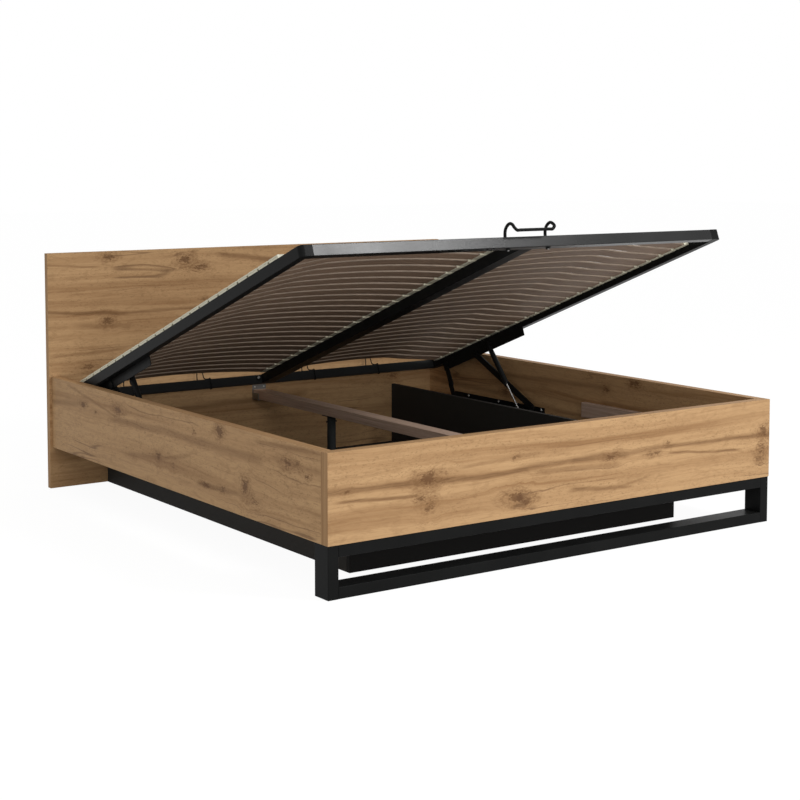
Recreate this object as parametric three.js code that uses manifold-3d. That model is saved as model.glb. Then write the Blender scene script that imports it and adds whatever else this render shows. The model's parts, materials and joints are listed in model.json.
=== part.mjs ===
import * as THREE from 'three';
import { mergeVertices } from 'three/addons/utils/BufferGeometryUtils.js';
import Module from 'manifold-3d';

// Ottoman bed with a lift-up slat frame, shown open.
// Millimetres, +Z up. The origin lies on the floor under the middle of the bed, the headboard is at +Y.
// Inside the bed, y is counted from the footboard's front face and x from the middle.

// Gap left between pieces that touch
const fit = 0.3;

// Boards
const bayWidth = 1814;
const bayLength = 2002;
const railThickness = 38;
const railHeight = 282;
const railClearance = 165;
const footboardThickness = 38;
const headboardThickness = 27;
const headboardHeight = 937;
const headboardOverhang = 11;

// Steel leg frame under the footboard
const legInset = 2;
const legDepth = 76;
const legWidth = 38;
const legBarHeight = 37;
const legWall = 1.5;

// Storage container
const containerFromRail = 197;
const containerHeight = 289;
const containerSetback = 242;
const containerBoard = 18;
const containerFloorThickness = 5;
const cleatWidth = 18;
const centreCleatWidth = 60;
const cleatHeight = 22;

// Supports for the closed slat frame
const supportDrop = 125;
const battenLength = 920;
const battenHeight = 60;
const battenThickness = 24;
const beamWidth = 60;
const beamHeight = 38;
const beamNotchPlay = 2;

// Beam hangers
const hangerPlate = 3;
const hangerRise = 19;
const hangerSeatLength = 50;
const hangerCheekHeight = 26;

// Centre leg under the beam
const legTubeDiameter = 35;
const legTubeWall = 1.5;
const legTubeFromHeadboard = 579;
const legPlateSide = 56;
const legPlateThickness = 3;
const legFootDiameter = 44;
const legFootHeight = 8;
const legPinDiameter = 6;
const legPinLength = 49;
const legPinDrop = 26;

// Steel angles in the bed's corners
const bracketLeg = 40;
const bracketHeight = 50;
const bracketPlate = 3;
const bracketBelowRailTop = 225;

// Slat frame
const frameSideGap = 5;
const frameFootGap = 107;
const frameHeadGap = 7;
const frameRestGap = 1;
const tubeWidth = 30;
const tubeHeight = 38;
const tubeWall = 1.5;
const cornerRadius = 17;
const cornerLeg = 45;
const crossbarWidth = 20;
const centreBarWidth = 60;

// Slats and their holders. A slat's outer end lies lower than its inner one: it steps down between two
// places, counted from the middle of the bed.
const slatPitch = 71;
const slatFromFoot = 165;
const slatFromHead = 89;
const slatWidth = 54;
const slatThickness = 8;
const slatCamber = 18;
const slatArcSteps = 5;
const slatStepDown = 15;
const slatSteps = { left: [640, 766], right: [610, 655] };
const slatEndPlay = 1;
const holderDepth = 54;
const holderLength = 58;
const holderWall = 1.7;
const stripThickness = 1.2;
const stripWidth = 12;
const slatStripWidth = 3;

// Mattress retainers
const retainerWire = 10;
const retainerHalfSpan = 87;
const retainerReach = 56;
const retainerBarHeight = 10;
const retainerBend = 24;
const retainerArch = [[0, 6], [9, 26], [23, 36], [40, 38.5], [52, 30], [57, 20]];
const hairpinWire = 4.5;
const hairpinHeight = 75;
const hairpinNearFootStep = 19;
const hairpinLegStep = 26;
const hairpinTopStep = 36;
const hairpinFarLegStep = 46;
const hairpinFarFootStep = 51;
const hairpinSetback = 4;
const hairpinPlaces = [-607, -274, 236, 569];

// Lift mechanism, from the rail inwards
const openAngle = THREE.MathUtils.degToRad(20.68);
const basePlate = 3;
const baseHeight = 62;
const baseBelowRailTop = 185;
const baseFrontMargin = 36;
const baseRearMargin = 23;
const earPlate = 3;
const linkThickness = 5;
const linkWidth = 28;
const liftPlate = 3;
const liftPlateTopDrop = 16;
const liftPlateFrontMargin = 226;
const liftPlateRearMargin = 24;
const liftPlateEdge = 2.7;
const pinRadius = 4.5;
const pinHeadRadius = 8;
const pinHeadCrown = 5.6;
const pinHeadThickness = 3;
const nutRadius = 9;
const nutThickness = 4;

// Rear link: its top pivot is counted from the slat frame's head end and down from its top face
const rearLinkLength = 93.4;
const rearLinkOpen = THREE.MathUtils.degToRad(64);
const rearLinkClosed = THREE.MathUtils.degToRad(7.5);
const rearPivotFromHead = 121.7;
const rearPivotDrop = 50;

// Front arm: its base pivot follows from its length, half-way between the open and the closed place
const frontArmLength = 435;
const frontPivotFromHead = 348;
const frontPivotDrop = 61;
const slotPlay = 5.8;
const slotWasherOverlap = 6;

// Gas spring
const gasFootFromHeadboard = 731;
const gasFootRise = 43;
const gasStudFromHead = 475;
const gasStudDrop = 48;
const gasStudRadius = 4;
const gasCylinderLength = 206;
const gasCylinderDiameter = 22;
const gasCylinderWall = 1.5;
const gasRodDiameter = 8;
const gasRodEngaged = 26;
const gasPistonLength = 8;
const gasEyeRadius = 9;
const gasEyeCheek = 0.5;
const gasFromEar = 3;

// Facets of round shapes: of a full turn, and of an arc in an outline
const roundSteps = 20;
const smallRoundSteps = 12;
const arcSteps = 6;
const wireArcSteps = 44;
const wireSides = 8;
const hairpinSteps = 30;
const hairpinSides = 6;

// Places that follow from the sizes above
const halfBay = bayWidth / 2;
const bedHalfWidth = halfBay + railThickness;
const headboardFront = footboardThickness + bayLength;
const bedLength = headboardFront + headboardThickness;
const railTop = railClearance + railHeight;
const supportTop = railTop - supportDrop;
const baseTop = railTop - baseBelowRailTop;
const baseBottom = baseTop - baseHeight;
const beamBottom = supportTop - beamHeight;
const frameLength = bayLength - frameFootGap - frameHeadGap;
const frameHalfWidth = halfBay - frameSideGap;
const closedPose = {
  y: footboardThickness + frameFootGap,
  z: supportTop + frameRestGap + tubeHeight,
  tilt: 0,
};

// A point of the slat frame, t along it from the foot end and drop below its top face, in the bed's (y, z)
function framePoint(pose, t, drop) {
  return new THREE.Vector2(
    pose.y + t * Math.cos(pose.tilt) - drop * Math.sin(pose.tilt),
    pose.z - t * Math.sin(pose.tilt) - drop * Math.cos(pose.tilt),
  );
}

function polar(length, angle) {
  return new THREE.Vector2(length * Math.cos(angle), length * Math.sin(angle));
}

// The rear link carries the slat frame from the closed place to the open one
const rearPivot = { t: frameLength - rearPivotFromHead, drop: rearPivotDrop };
const rearTopClosed = framePoint(closedPose, rearPivot.t, rearPivot.drop);
const rearBase = rearTopClosed.clone().sub(polar(rearLinkLength, rearLinkClosed));
const rearTop = rearBase.clone().add(polar(rearLinkLength, rearLinkOpen));
const frameOffset = framePoint({ y: 0, z: 0, tilt: openAngle }, rearPivot.t, rearPivot.drop);
const openPose = { y: rearTop.x - frameOffset.x, z: rearTop.y - frameOffset.y, tilt: openAngle };

// The front arm's base pivot is as far from its open top pivot as from the closed one
const frontPivot = { t: frameLength - frontPivotFromHead, drop: frontPivotDrop };
const slotRadius = pinRadius + slotPlay;
const frontTop = framePoint(openPose, frontPivot.t, frontPivot.drop);
const frontTopClosed = framePoint(closedPose, frontPivot.t, frontPivot.drop);
const frontChord = frontTopClosed.clone().sub(frontTop);
const frontDistance = Math.sqrt(frontArmLength ** 2 - (frontChord.length() / 2) ** 2);
const frontAway = new THREE.Vector2(frontChord.y, -frontChord.x).normalize();
const frontBase = frontTop.clone()
  .addScaledVector(frontChord, 0.5)
  .addScaledVector(frontAway, frontDistance);

// Gas spring between its foot stud and its stud on the lift plate
const gasFoot = new THREE.Vector2(headboardFront - gasFootFromHeadboard, baseBottom + gasFootRise);
const gasPivot = { t: frameLength - gasStudFromHead, drop: gasStudDrop };
const gasTop = framePoint(openPose, gasPivot.t, gasPivot.drop);
const gasLength = gasTop.distanceTo(gasFoot);
const gasEyeThickness = gasRodDiameter + 2 * gasEyeCheek;

// Layers of the mechanism across the bed, measured from the middle
const basePlateOut = halfBay - fit;
const basePlateIn = basePlateOut - basePlate;
const tubeIn = frameHalfWidth - tubeWidth;
const liftPlateOut = tubeIn - fit;
const liftPlateIn = liftPlateOut - liftPlate;
const linkOut = liftPlateIn - fit;
const linkIn = linkOut - linkThickness;
const earOut = linkIn - fit;
const earIn = earOut - earPlate;
const gasEyeOut = earIn - gasFromEar - gasCylinderDiameter / 2 + gasEyeThickness / 2;
const gasPlane = gasEyeOut - gasEyeThickness / 2;
const gasEyeIn = gasEyeOut - gasEyeThickness;

const wasm = await Module();
wasm.setup();

// Geometry helpers

function box(x0, x1, y0, y1, z0, z1) {
  const geometry = new THREE.BoxGeometry(x1 - x0, y1 - y0, z1 - z0);
  return geometry.translate((x0 + x1) / 2, (y0 + y1) / 2, (z0 + z1) / 2);
}

function bare(geometry) {
  const copy = geometry.index ? geometry.toNonIndexed() : geometry.clone();
  copy.deleteAttribute('normal');
  copy.deleteAttribute('uv');
  return copy;
}

function toManifold(geometry) {
  const merged = mergeVertices(bare(geometry));
  return new wasm.Manifold(new wasm.Mesh({
    numProp: 3,
    vertProperties: new Float32Array(merged.attributes.position.array),
    triVerts: new Uint32Array(merged.index.array),
  }));
}

function fromManifold(solid) {
  const result = solid.getMesh();
  const geometry = new THREE.BufferGeometry();
  geometry.setAttribute('position', new THREE.BufferAttribute(result.vertProperties, 3));
  geometry.setIndex(new THREE.BufferAttribute(result.triVerts, 1));
  geometry.computeVertexNormals();
  return geometry;
}

function join(...geometries) {
  return fromManifold(geometries.map(toManifold).reduce((sum, solid) => sum.add(solid)));
}

function cut(geometry, ...tools) {
  const solids = tools.map(toManifold);
  return fromManifold(solids.reduce((rest, tool) => rest.subtract(tool), toManifold(geometry)));
}

function extruded(shape, depth, curveSegments) {
  return new THREE.ExtrudeGeometry(shape, { depth, bevelEnabled: false, curveSegments });
}

// An outline in (y, z), given thickness along x on the side that the sign names
function plateAcross(shape, side, inner, outer) {
  const geometry = extruded(shape, outer - inner, arcSteps);
  const basis = new THREE.Matrix4().makeBasis(
    new THREE.Vector3(0, 1, 0),
    new THREE.Vector3(0, 0, 1),
    new THREE.Vector3(1, 0, 0),
  );
  return geometry.applyMatrix4(basis).translate(side > 0 ? inner : -outer, 0, 0);
}

// An outline in (x, z), given thickness along y
function plateAlong(shape, y0, y1) {
  return extruded(shape, y1 - y0, arcSteps).rotateX(Math.PI / 2).translate(0, y1, 0);
}

// An outline in (x, y), given height
function plateUp(shape, z0, z1, curveSegments = arcSteps) {
  return extruded(shape, z1 - z0, curveSegments).translate(0, 0, z0);
}

function rectangle(a0, a1, b0, b1) {
  return new THREE.Shape([
    new THREE.Vector2(a0, b0),
    new THREE.Vector2(a1, b0),
    new THREE.Vector2(a1, b1),
    new THREE.Vector2(a0, b1),
  ]);
}

function roundHole(centre, radius) {
  return new THREE.Path().absarc(centre.x, centre.y, radius, 0, 2 * Math.PI, true);
}

// A rectangular section with a wall
function hollow(a0, a1, b0, b1, wall) {
  const shape = rectangle(a0, a1, b0, b1);
  shape.holes.push(new THREE.Path(rectangle(a0 + wall, a1 - wall, b0 + wall, b1 - wall).getPoints()));
  return shape;
}

// A turned piece on an axis along x, its profile given as [radius, distance out from the middle]
function turned(profile, side, centre, steps = smallRoundSteps) {
  const points = profile.map(([radius, x]) => new THREE.Vector2(radius, x));
  const geometry = new THREE.LatheGeometry(points, steps);
  return geometry.rotateZ(-side * Math.PI / 2).translate(0, centre.x, centre.y);
}

// A flat bar with round ends between two pivots, with a hole at each
function flatBar(from, to, width, holeFrom, holeTo) {
  const along = to.clone().sub(from);
  const angle = along.angle();
  const shape = new THREE.Shape();
  shape.absarc(from.x, from.y, width / 2, angle + Math.PI / 2, angle + 1.5 * Math.PI, false);
  shape.absarc(to.x, to.y, width / 2, angle - Math.PI / 2, angle + Math.PI / 2, false);
  shape.closePath();
  shape.holes.push(roundHole(from, holeFrom), roundHole(to, holeTo));
  return shape;
}

// A round wire along a path
function wire(points, diameter, steps, sides) {
  const path = new THREE.CatmullRomCurve3(points, false, 'centripetal');
  const section = new THREE.Shape();
  for (let i = 0; i < sides; i += 1) {
    const angle = 2 * Math.PI * i / sides;
    section[i ? 'lineTo' : 'moveTo'](diameter / 2 * Math.cos(angle), diameter / 2 * Math.sin(angle));
  }
  return new THREE.ExtrudeGeometry(section, { steps, extrudePath: path, bevelEnabled: false });
}

// Finishes
const finishes = {
  oak: { color: 0xb98d5b, roughness: 0.62, metalness: 0 },
  blackSteel: { color: 0x17171a, roughness: 0.5, metalness: 0.2 },
  blackBoard: { color: 0x161617, roughness: 0.7, metalness: 0 },
  greyBeech: { color: 0x6b5648, roughness: 0.6, metalness: 0 },
  holderPlastic: { color: 0xd9d3bd, roughness: 0.5, metalness: 0 },
  blackPlastic: { color: 0x101011, roughness: 0.6, metalness: 0 },
  zinc: { color: 0xb9bcbf, roughness: 0.35, metalness: 0.9 },
  chrome: { color: 0xe2e4e6, roughness: 0.12, metalness: 1 },
};

function add(parent, name, finish, geometry) {
  const mesh = new THREE.Mesh(geometry, new THREE.MeshStandardMaterial(finishes[finish]));
  mesh.name = name;
  parent.add(mesh);
}

const sides = [['left', -1], ['right', 1]];

const bed = new THREE.Group();
bed.position.y = -bedLength / 2;

// Headboard, footboard and side rails
function addBoards() {
  const headHalf = bedHalfWidth + headboardOverhang;
  add(bed, 'headboard', 'oak', box(-headHalf, headHalf, headboardFront, bedLength, 0, headboardHeight));
  add(bed, 'footboard', 'oak',
    box(-bedHalfWidth, bedHalfWidth, 0, footboardThickness, railClearance, railTop));
  for (const [name, side] of sides) {
    const middle = side * (halfBay + railThickness / 2);
    add(bed, `side_rail_${name}`, 'oak', box(
      middle - railThickness / 2, middle + railThickness / 2,
      footboardThickness + fit, headboardFront - fit, railClearance, railTop,
    ));
  }
}

// Steel angles that hold the four boards together
function addCornerBrackets() {
  const top = railTop - bracketBelowRailTop;
  const wallX = halfBay - fit;
  for (const [name, side] of sides) {
    for (const [end, wallY, inward] of [
      ['foot', footboardThickness + fit, 1],
      ['head', headboardFront - fit, -1],
    ]) {
      const outline = new THREE.Shape([
        [wallX, 0],
        [wallX - bracketLeg, 0],
        [wallX - bracketLeg, bracketPlate],
        [wallX - bracketPlate, bracketPlate],
        [wallX - bracketPlate, bracketLeg],
        [wallX, bracketLeg],
      ].map(([x, y]) => new THREE.Vector2(side * x, wallY + inward * y)));
      add(bed, `corner_bracket_${end}_${name}`, 'zinc', plateUp(outline, top - bracketHeight, top));
    }
  }
}

// Leg frame: two uprights, closed at the floor, with the bars between them
function addLegFrame() {
  const out = bedHalfWidth - legInset;
  const inner = out - legWidth;
  const top = railClearance - fit;
  const back = legInset + legDepth;
  for (const [name, side] of sides) {
    const middle = side * (out - legWidth / 2);
    const x0 = middle - legWidth / 2;
    const x1 = middle + legWidth / 2;
    add(bed, `leg_frame_upright_${name}`, 'blackSteel', cut(
      box(x0, x1, legInset, back, 0, top),
      box(x0 + legWall, x1 - legWall, legInset + legWall, back - legWall, legWall, top + legWall),
    ));
  }
  const bar = (z0, z1) => {
    const section = hollow(legInset, back, z0, z1, legWall);
    return plateAcross(section, 1, -inner + fit, inner - fit);
  };
  add(bed, 'leg_frame_top_bar', 'blackSteel', bar(top - legBarHeight, top));
  add(bed, 'leg_frame_bottom_bar', 'blackSteel', bar(0, legBarHeight));
}

// Storage container: two sides and a front, closed behind by the headboard.
// Its floor lies on a low frame of battens.
function addContainer() {
  const half = halfBay - containerFromRail;
  const inner = half - containerBoard - fit;
  const frontBack = containerSetback + containerBoard;
  const near = frontBack + fit;
  const rear = headboardFront - fit;
  const beamCut = box(
    -beamWidth / 2 - beamNotchPlay, beamWidth / 2 + beamNotchPlay,
    containerSetback - containerBoard, frontBack + containerBoard,
    beamBottom - fit, beamBottom + containerHeight,
  );
  add(bed, 'container_front', 'blackBoard',
    cut(box(-half, half, containerSetback, frontBack, 0, containerHeight), beamCut));
  for (const [name, side] of sides) {
    const middle = side * (half - containerBoard / 2);
    add(bed, `container_side_${name}`, 'blackBoard', box(
      middle - containerBoard / 2, middle + containerBoard / 2, near, rear, 0, containerHeight,
    ));
  }
  const floorBottom = cleatHeight + fit;
  const floorTop = floorBottom + containerFloorThickness;
  add(bed, 'container_floor', 'blackBoard', box(-inner, inner, near, rear, floorBottom, floorTop));
  add(bed, 'container_floor_frame', 'greyBeech', join(
    box(-inner, -inner + cleatWidth, near, rear, 0, cleatHeight),
    box(-centreCleatWidth / 2, centreCleatWidth / 2, near, rear, 0, cleatHeight),
    box(inner - cleatWidth, inner, near, rear, 0, cleatHeight),
    box(-inner, inner, near, near + cleatWidth, 0, cleatHeight),
    box(-inner, inner, rear - cleatWidth, rear, 0, cleatHeight),
  ));
  return floorTop;
}

// Battens on the rails' inner faces, under the foot half of the closed slat frame
function addBattens() {
  for (const [name, side] of sides) {
    const middle = side * (halfBay - fit - battenThickness / 2);
    add(bed, `batten_${name}`, 'greyBeech', box(
      middle - battenThickness / 2, middle + battenThickness / 2,
      footboardThickness + fit, footboardThickness + fit + battenLength,
      supportTop - battenHeight, supportTop,
    ));
  }
}

// A sheet-steel shoe for the end of the beam, its back plate on the board whose face is at wallY
function hanger(wallY, inward) {
  const half = beamWidth / 2 + fit + hangerPlate;
  const bottom = beamBottom - fit - hangerPlate;
  const span = (near, far) => [wallY + inward * near, wallY + inward * far].sort((a, b) => a - b);
  const [b0, b1] = span(fit, fit + hangerPlate);
  const [s0, s1] = span(fit, fit + hangerPlate + hangerSeatLength);
  const cheekTop = bottom + hangerPlate + hangerCheekHeight;
  return join(
    box(-half, half, b0, b1, bottom, supportTop + hangerRise),
    box(-half, half, s0, s1, bottom, bottom + hangerPlate),
    box(-half, -half + hangerPlate, s0, s1, bottom, cheekTop),
    box(half - hangerPlate, half, s0, s1, bottom, cheekTop),
  );
}

function addBeam() {
  const wall = fit + hangerPlate + fit;
  const half = beamWidth / 2;
  add(bed, 'centre_beam', 'greyBeech',
    box(-half, half, footboardThickness + wall, headboardFront - wall, beamBottom, supportTop));
  add(bed, 'beam_hanger_foot', 'zinc', hanger(footboardThickness, 1));
  add(bed, 'beam_hanger_head', 'zinc', hanger(headboardFront, -1));
}

// Leg between the beam and the container's floor: a tube with a welded top plate, on a plastic foot
function addCentreLeg(floorTop) {
  const y = headboardFront - legTubeFromHeadboard;
  const plateTop = beamBottom - fit;
  const plateBottom = plateTop - legPlateThickness;
  const half = legPlateSide / 2;
  const footBottom = floorTop + fit;
  const foot = new THREE.CylinderGeometry(
    legTubeDiameter / 2, legFootDiameter / 2, legFootHeight, roundSteps,
  );
  add(bed, 'centre_leg_foot', 'blackPlastic',
    foot.rotateX(Math.PI / 2).translate(0, y, footBottom + legFootHeight / 2));

  const radius = legTubeDiameter / 2;
  const section = new THREE.Shape().absarc(0, y, radius, 0, 2 * Math.PI, false);
  section.holes.push(roundHole(new THREE.Vector2(0, y), radius - legTubeWall));
  const pin = (thick, length) => {
    const cylinder = new THREE.CylinderGeometry(thick, thick, length, smallRoundSteps);
    return cylinder.rotateZ(Math.PI / 2).translate(0, y, beamBottom - legPinDrop);
  };
  const tube = join(
    plateUp(section, footBottom + legFootHeight + fit, plateBottom + legPlateThickness / 2, roundSteps / 2),
    box(-half, half, y - half, y + half, plateBottom, plateTop),
  );
  add(bed, 'centre_leg_tube', 'blackSteel', cut(tube, pin(legPinDiameter / 2 + fit, 2 * legTubeDiameter)));
  add(bed, 'centre_leg_pin', 'zinc', pin(legPinDiameter / 2, legPinLength));
}

// A rivet on which a link turns, its head inside the ear
function addBasePin(name, side, pivot) {
  add(bed, name, 'zinc', turned([
    [0, earIn - fit - pinHeadThickness],
    [pinHeadCrown, earIn - fit - pinHeadThickness],
    [pinHeadRadius, earIn - fit - pinHeadThickness / 2],
    [pinHeadRadius, earIn - fit],
    [pinRadius, earIn - fit],
    [pinRadius, linkOut],
    [0, linkOut],
  ], side, pivot));
}

// Base bracket on the rail: a plate, a flange along its lower edge, three ears and a stud for the gas spring
function addLiftBases() {
  const front = frontBase.x - baseFrontMargin;
  const rear = rearBase.x + baseRearMargin;
  const ears = [
    [rearBase, rearLinkOpen, pinRadius + fit],
    [frontBase, Math.PI / 2, pinRadius + fit],
    [gasFoot, Math.PI / 2, gasStudRadius / 2],
  ];
  for (const [name, side] of sides) {
    const solids = [
      plateAcross(rectangle(front, rear, baseBottom, baseTop), side, basePlateIn, basePlateOut),
      plateAcross(rectangle(front, rear, baseBottom, baseBottom + basePlate), side, earIn, basePlateOut),
    ];
    for (const [pivot, lean, radius] of ears) {
      const foot = pivot.clone().sub(polar((pivot.y - baseBottom) / Math.sin(lean), lean));
      const ear = flatBar(foot, pivot, linkWidth, radius, radius);
      ear.holes.shift();
      solids.push(plateAcross(ear, side, earIn, earOut));
    }
    solids.push(turned([
      [0, gasEyeIn - fit - pinHeadThickness],
      [pinHeadRadius, gasEyeIn - fit - pinHeadThickness],
      [pinHeadRadius, gasEyeIn - fit],
      [gasStudRadius, gasEyeIn - fit],
      [gasStudRadius, gasEyeOut + fit],
      [pinHeadRadius, gasEyeOut + fit],
      [pinHeadRadius, (earIn + earOut) / 2],
      [0, (earIn + earOut) / 2],
    ], side, gasFoot));
    const under = plateAcross(
      rectangle(front - linkWidth, rear + linkWidth, baseBottom - 2 * linkWidth, baseBottom),
      side, earIn - basePlate, basePlateOut + basePlate,
    );
    add(bed, `lift_base_${name}`, 'blackSteel', cut(join(...solids), under));
    addBasePin(`rear_base_pin_${name}`, side, rearBase);
    addBasePin(`front_base_pin_${name}`, side, frontBase);
  }
}

// Link or arm with the pin that carries the lift plate on its top end
function addLink(kind, name, side, from, to, washerRadius) {
  add(bed, `${kind}_${name}`, 'blackSteel',
    plateAcross(flatBar(from, to, linkWidth, pinRadius + fit, pinRadius + fit), side, linkIn, linkOut));
  const washerIn = liftPlateOut + fit;
  add(bed, `${kind}_pin_${name}`, 'zinc', turned([
    [0, linkIn - fit - pinHeadThickness],
    [pinHeadCrown, linkIn - fit - pinHeadThickness],
    [pinHeadRadius, linkIn - fit - pinHeadThickness / 2],
    [pinHeadRadius, linkIn - fit],
    [pinRadius, linkIn - fit],
    [pinRadius, washerIn],
    [washerRadius, washerIn],
    [washerRadius, washerIn + nutThickness],
    [0, washerIn + nutThickness],
  ], side, to));
}

function addLinks() {
  for (const [name, side] of sides) {
    addLink('rear_link', name, side, rearBase, rearTop, nutRadius);
    addLink('front_arm', name, side, frontBase, frontTop, slotRadius + slotWasherOverlap);
  }
}

// Gas springs: an open bore in the cylinder takes the rod and its piston
function addGasSprings() {
  const direction = gasTop.clone().sub(gasFoot).normalize();
  const angle = direction.angle();
  const radius = gasCylinderDiameter / 2;
  const bore = radius - gasCylinderWall;
  const rodRadius = gasRodDiameter / 2;
  const mouth = gasLength - gasCylinderLength;
  const closedEnd = gasLength - 2 * gasEyeRadius;
  const boreEnd = closedEnd - gasCylinderDiameter / 2;
  const guideEnd = mouth + gasEyeRadius;
  const rodEnd = mouth + gasRodEngaged;

  // Profiles run along +Y and are then turned to the spring's direction
  const lathe = (profile, steps) => {
    const points = profile.map(([r, s]) => new THREE.Vector2(r, s));
    return new THREE.LatheGeometry(points, steps);
  };
  const eye = (s) => {
    const ring = new THREE.CylinderGeometry(gasEyeRadius, gasEyeRadius, gasEyeThickness, roundSteps);
    return ring.rotateZ(Math.PI / 2).translate(0, s, 0);
  };
  const hole = (s) => {
    const drill = new THREE.CylinderGeometry(
      gasStudRadius + fit, gasStudRadius + fit, 2 * gasEyeThickness, smallRoundSteps,
    );
    return drill.rotateZ(Math.PI / 2).translate(0, s, 0);
  };
  const rodSolid = cut(join(
    eye(0),
    lathe([
      [0, gasEyeRadius / 2],
      [rodRadius, gasEyeRadius / 2],
      [rodRadius, rodEnd - gasPistonLength],
      [bore - fit, rodEnd - gasPistonLength],
      [bore - fit, rodEnd],
      [0, rodEnd],
    ], roundSteps),
  ), hole(0));
  const cylinderSolid = join(
    eye(gasLength),
    lathe([
      [rodRadius + fit, mouth],
      [radius, mouth],
      [radius, closedEnd],
      [rodRadius, closedEnd],
      [rodRadius, gasLength - gasEyeRadius / 2],
      [0, gasLength - gasEyeRadius / 2],
      [0, boreEnd],
      [bore, boreEnd],
      [bore, guideEnd],
      [rodRadius + fit, guideEnd],
      [rodRadius + fit, mouth],
    ], roundSteps),
  );
  const place = (geometry, side) => {
    const turnedGeometry = geometry.clone().rotateX(angle);
    return turnedGeometry.translate(side * gasPlane, gasFoot.x, gasFoot.y);
  };
  for (const [name, side] of sides) {
    add(bed, `gas_rod_${name}`, 'chrome', place(rodSolid, side));
    add(bed, `gas_cylinder_${name}`, 'blackSteel', place(cylinderSolid, side));
  }
}

// Slat frame, built in its own group: y runs from its foot end and z = 0 is the tubes' top face
const slatFrame = new THREE.Group();
slatFrame.position.set(0, openPose.y, openPose.z);
slatFrame.rotation.x = -openPose.tilt;
bed.add(slatFrame);

// Side tubes, bent round at the foot end, with the foot tube, head crossbar and centre bar between them
function addTubes() {
  const legEnd = frameHalfWidth - cornerLeg;

  // The tube's outline on the +X side, drawn in from its faces by a margin and run on past its foot end
  const tubeOutline = (side, margin, pastEnd) => {
    const points = [];
    for (let i = 0; i <= arcSteps; i += 1) {
      const angle = -Math.PI / 2 * (1 - i / arcSteps);
      const radius = cornerRadius - margin;
      points.push([
        frameHalfWidth - cornerRadius + radius * Math.cos(angle),
        cornerRadius + radius * Math.sin(angle),
      ]);
    }
    points.push(
      [frameHalfWidth - margin, frameLength - margin],
      [tubeIn + margin, frameLength - margin],
      [tubeIn + margin, tubeWidth - margin],
      [legEnd - pastEnd, tubeWidth - margin],
      [legEnd - pastEnd, margin],
    );
    return new THREE.Shape(points.map(([x, y]) => new THREE.Vector2(side * x, y)));
  };
  for (const [name, side] of sides) {
    add(slatFrame, `side_tube_${name}`, 'blackSteel', cut(
      plateUp(tubeOutline(side, 0, 0), -tubeHeight, 0),
      plateUp(tubeOutline(side, tubeWall, tubeWidth), -tubeHeight + tubeWall, -tubeWall),
    ));
  }
  const footHalf = legEnd - fit;
  add(slatFrame, 'foot_tube', 'blackSteel',
    plateAcross(hollow(0, tubeWidth, -tubeHeight, 0, tubeWall), 1, -footHalf, footHalf));
  add(slatFrame, 'head_crossbar', 'blackSteel', plateAcross(
    hollow(frameLength - crossbarWidth, frameLength, -tubeHeight, 0, tubeWall),
    1, -tubeIn + fit, tubeIn - fit,
  ));
  add(slatFrame, 'centre_bar', 'blackSteel', plateAlong(
    hollow(-centreBarWidth / 2, centreBarWidth / 2, -tubeHeight, 0, tubeWall),
    tubeWidth + fit, frameLength - crossbarWidth - fit,
  ));
}

// Lift plates on the side tubes' inner faces, each with the gas spring's stud
function addLiftPlates() {
  const plate = rectangle(
    gasPivot.t - liftPlateFrontMargin, rearPivot.t + liftPlateRearMargin,
    -frontPivot.drop - slotRadius - liftPlateEdge, -liftPlateTopDrop,
  );
  plate.holes.push(
    roundHole(new THREE.Vector2(rearPivot.t, -rearPivot.drop), pinRadius + fit),
    roundHole(new THREE.Vector2(frontPivot.t, -frontPivot.drop), slotRadius),
  );
  for (const [name, side] of sides) {
    const stud = turned([
      [0, gasEyeOut + fit],
      [gasStudRadius, gasEyeOut + fit],
      [gasStudRadius, (liftPlateIn + liftPlateOut) / 2],
      [0, (liftPlateIn + liftPlateOut) / 2],
    ], side, new THREE.Vector2(gasPivot.t, -gasPivot.drop));
    add(slatFrame, `lift_plate_${name}`, 'blackSteel',
      join(plateAcross(plate, side, liftPlateIn, liftPlateOut), stud));
  }
}

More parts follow.
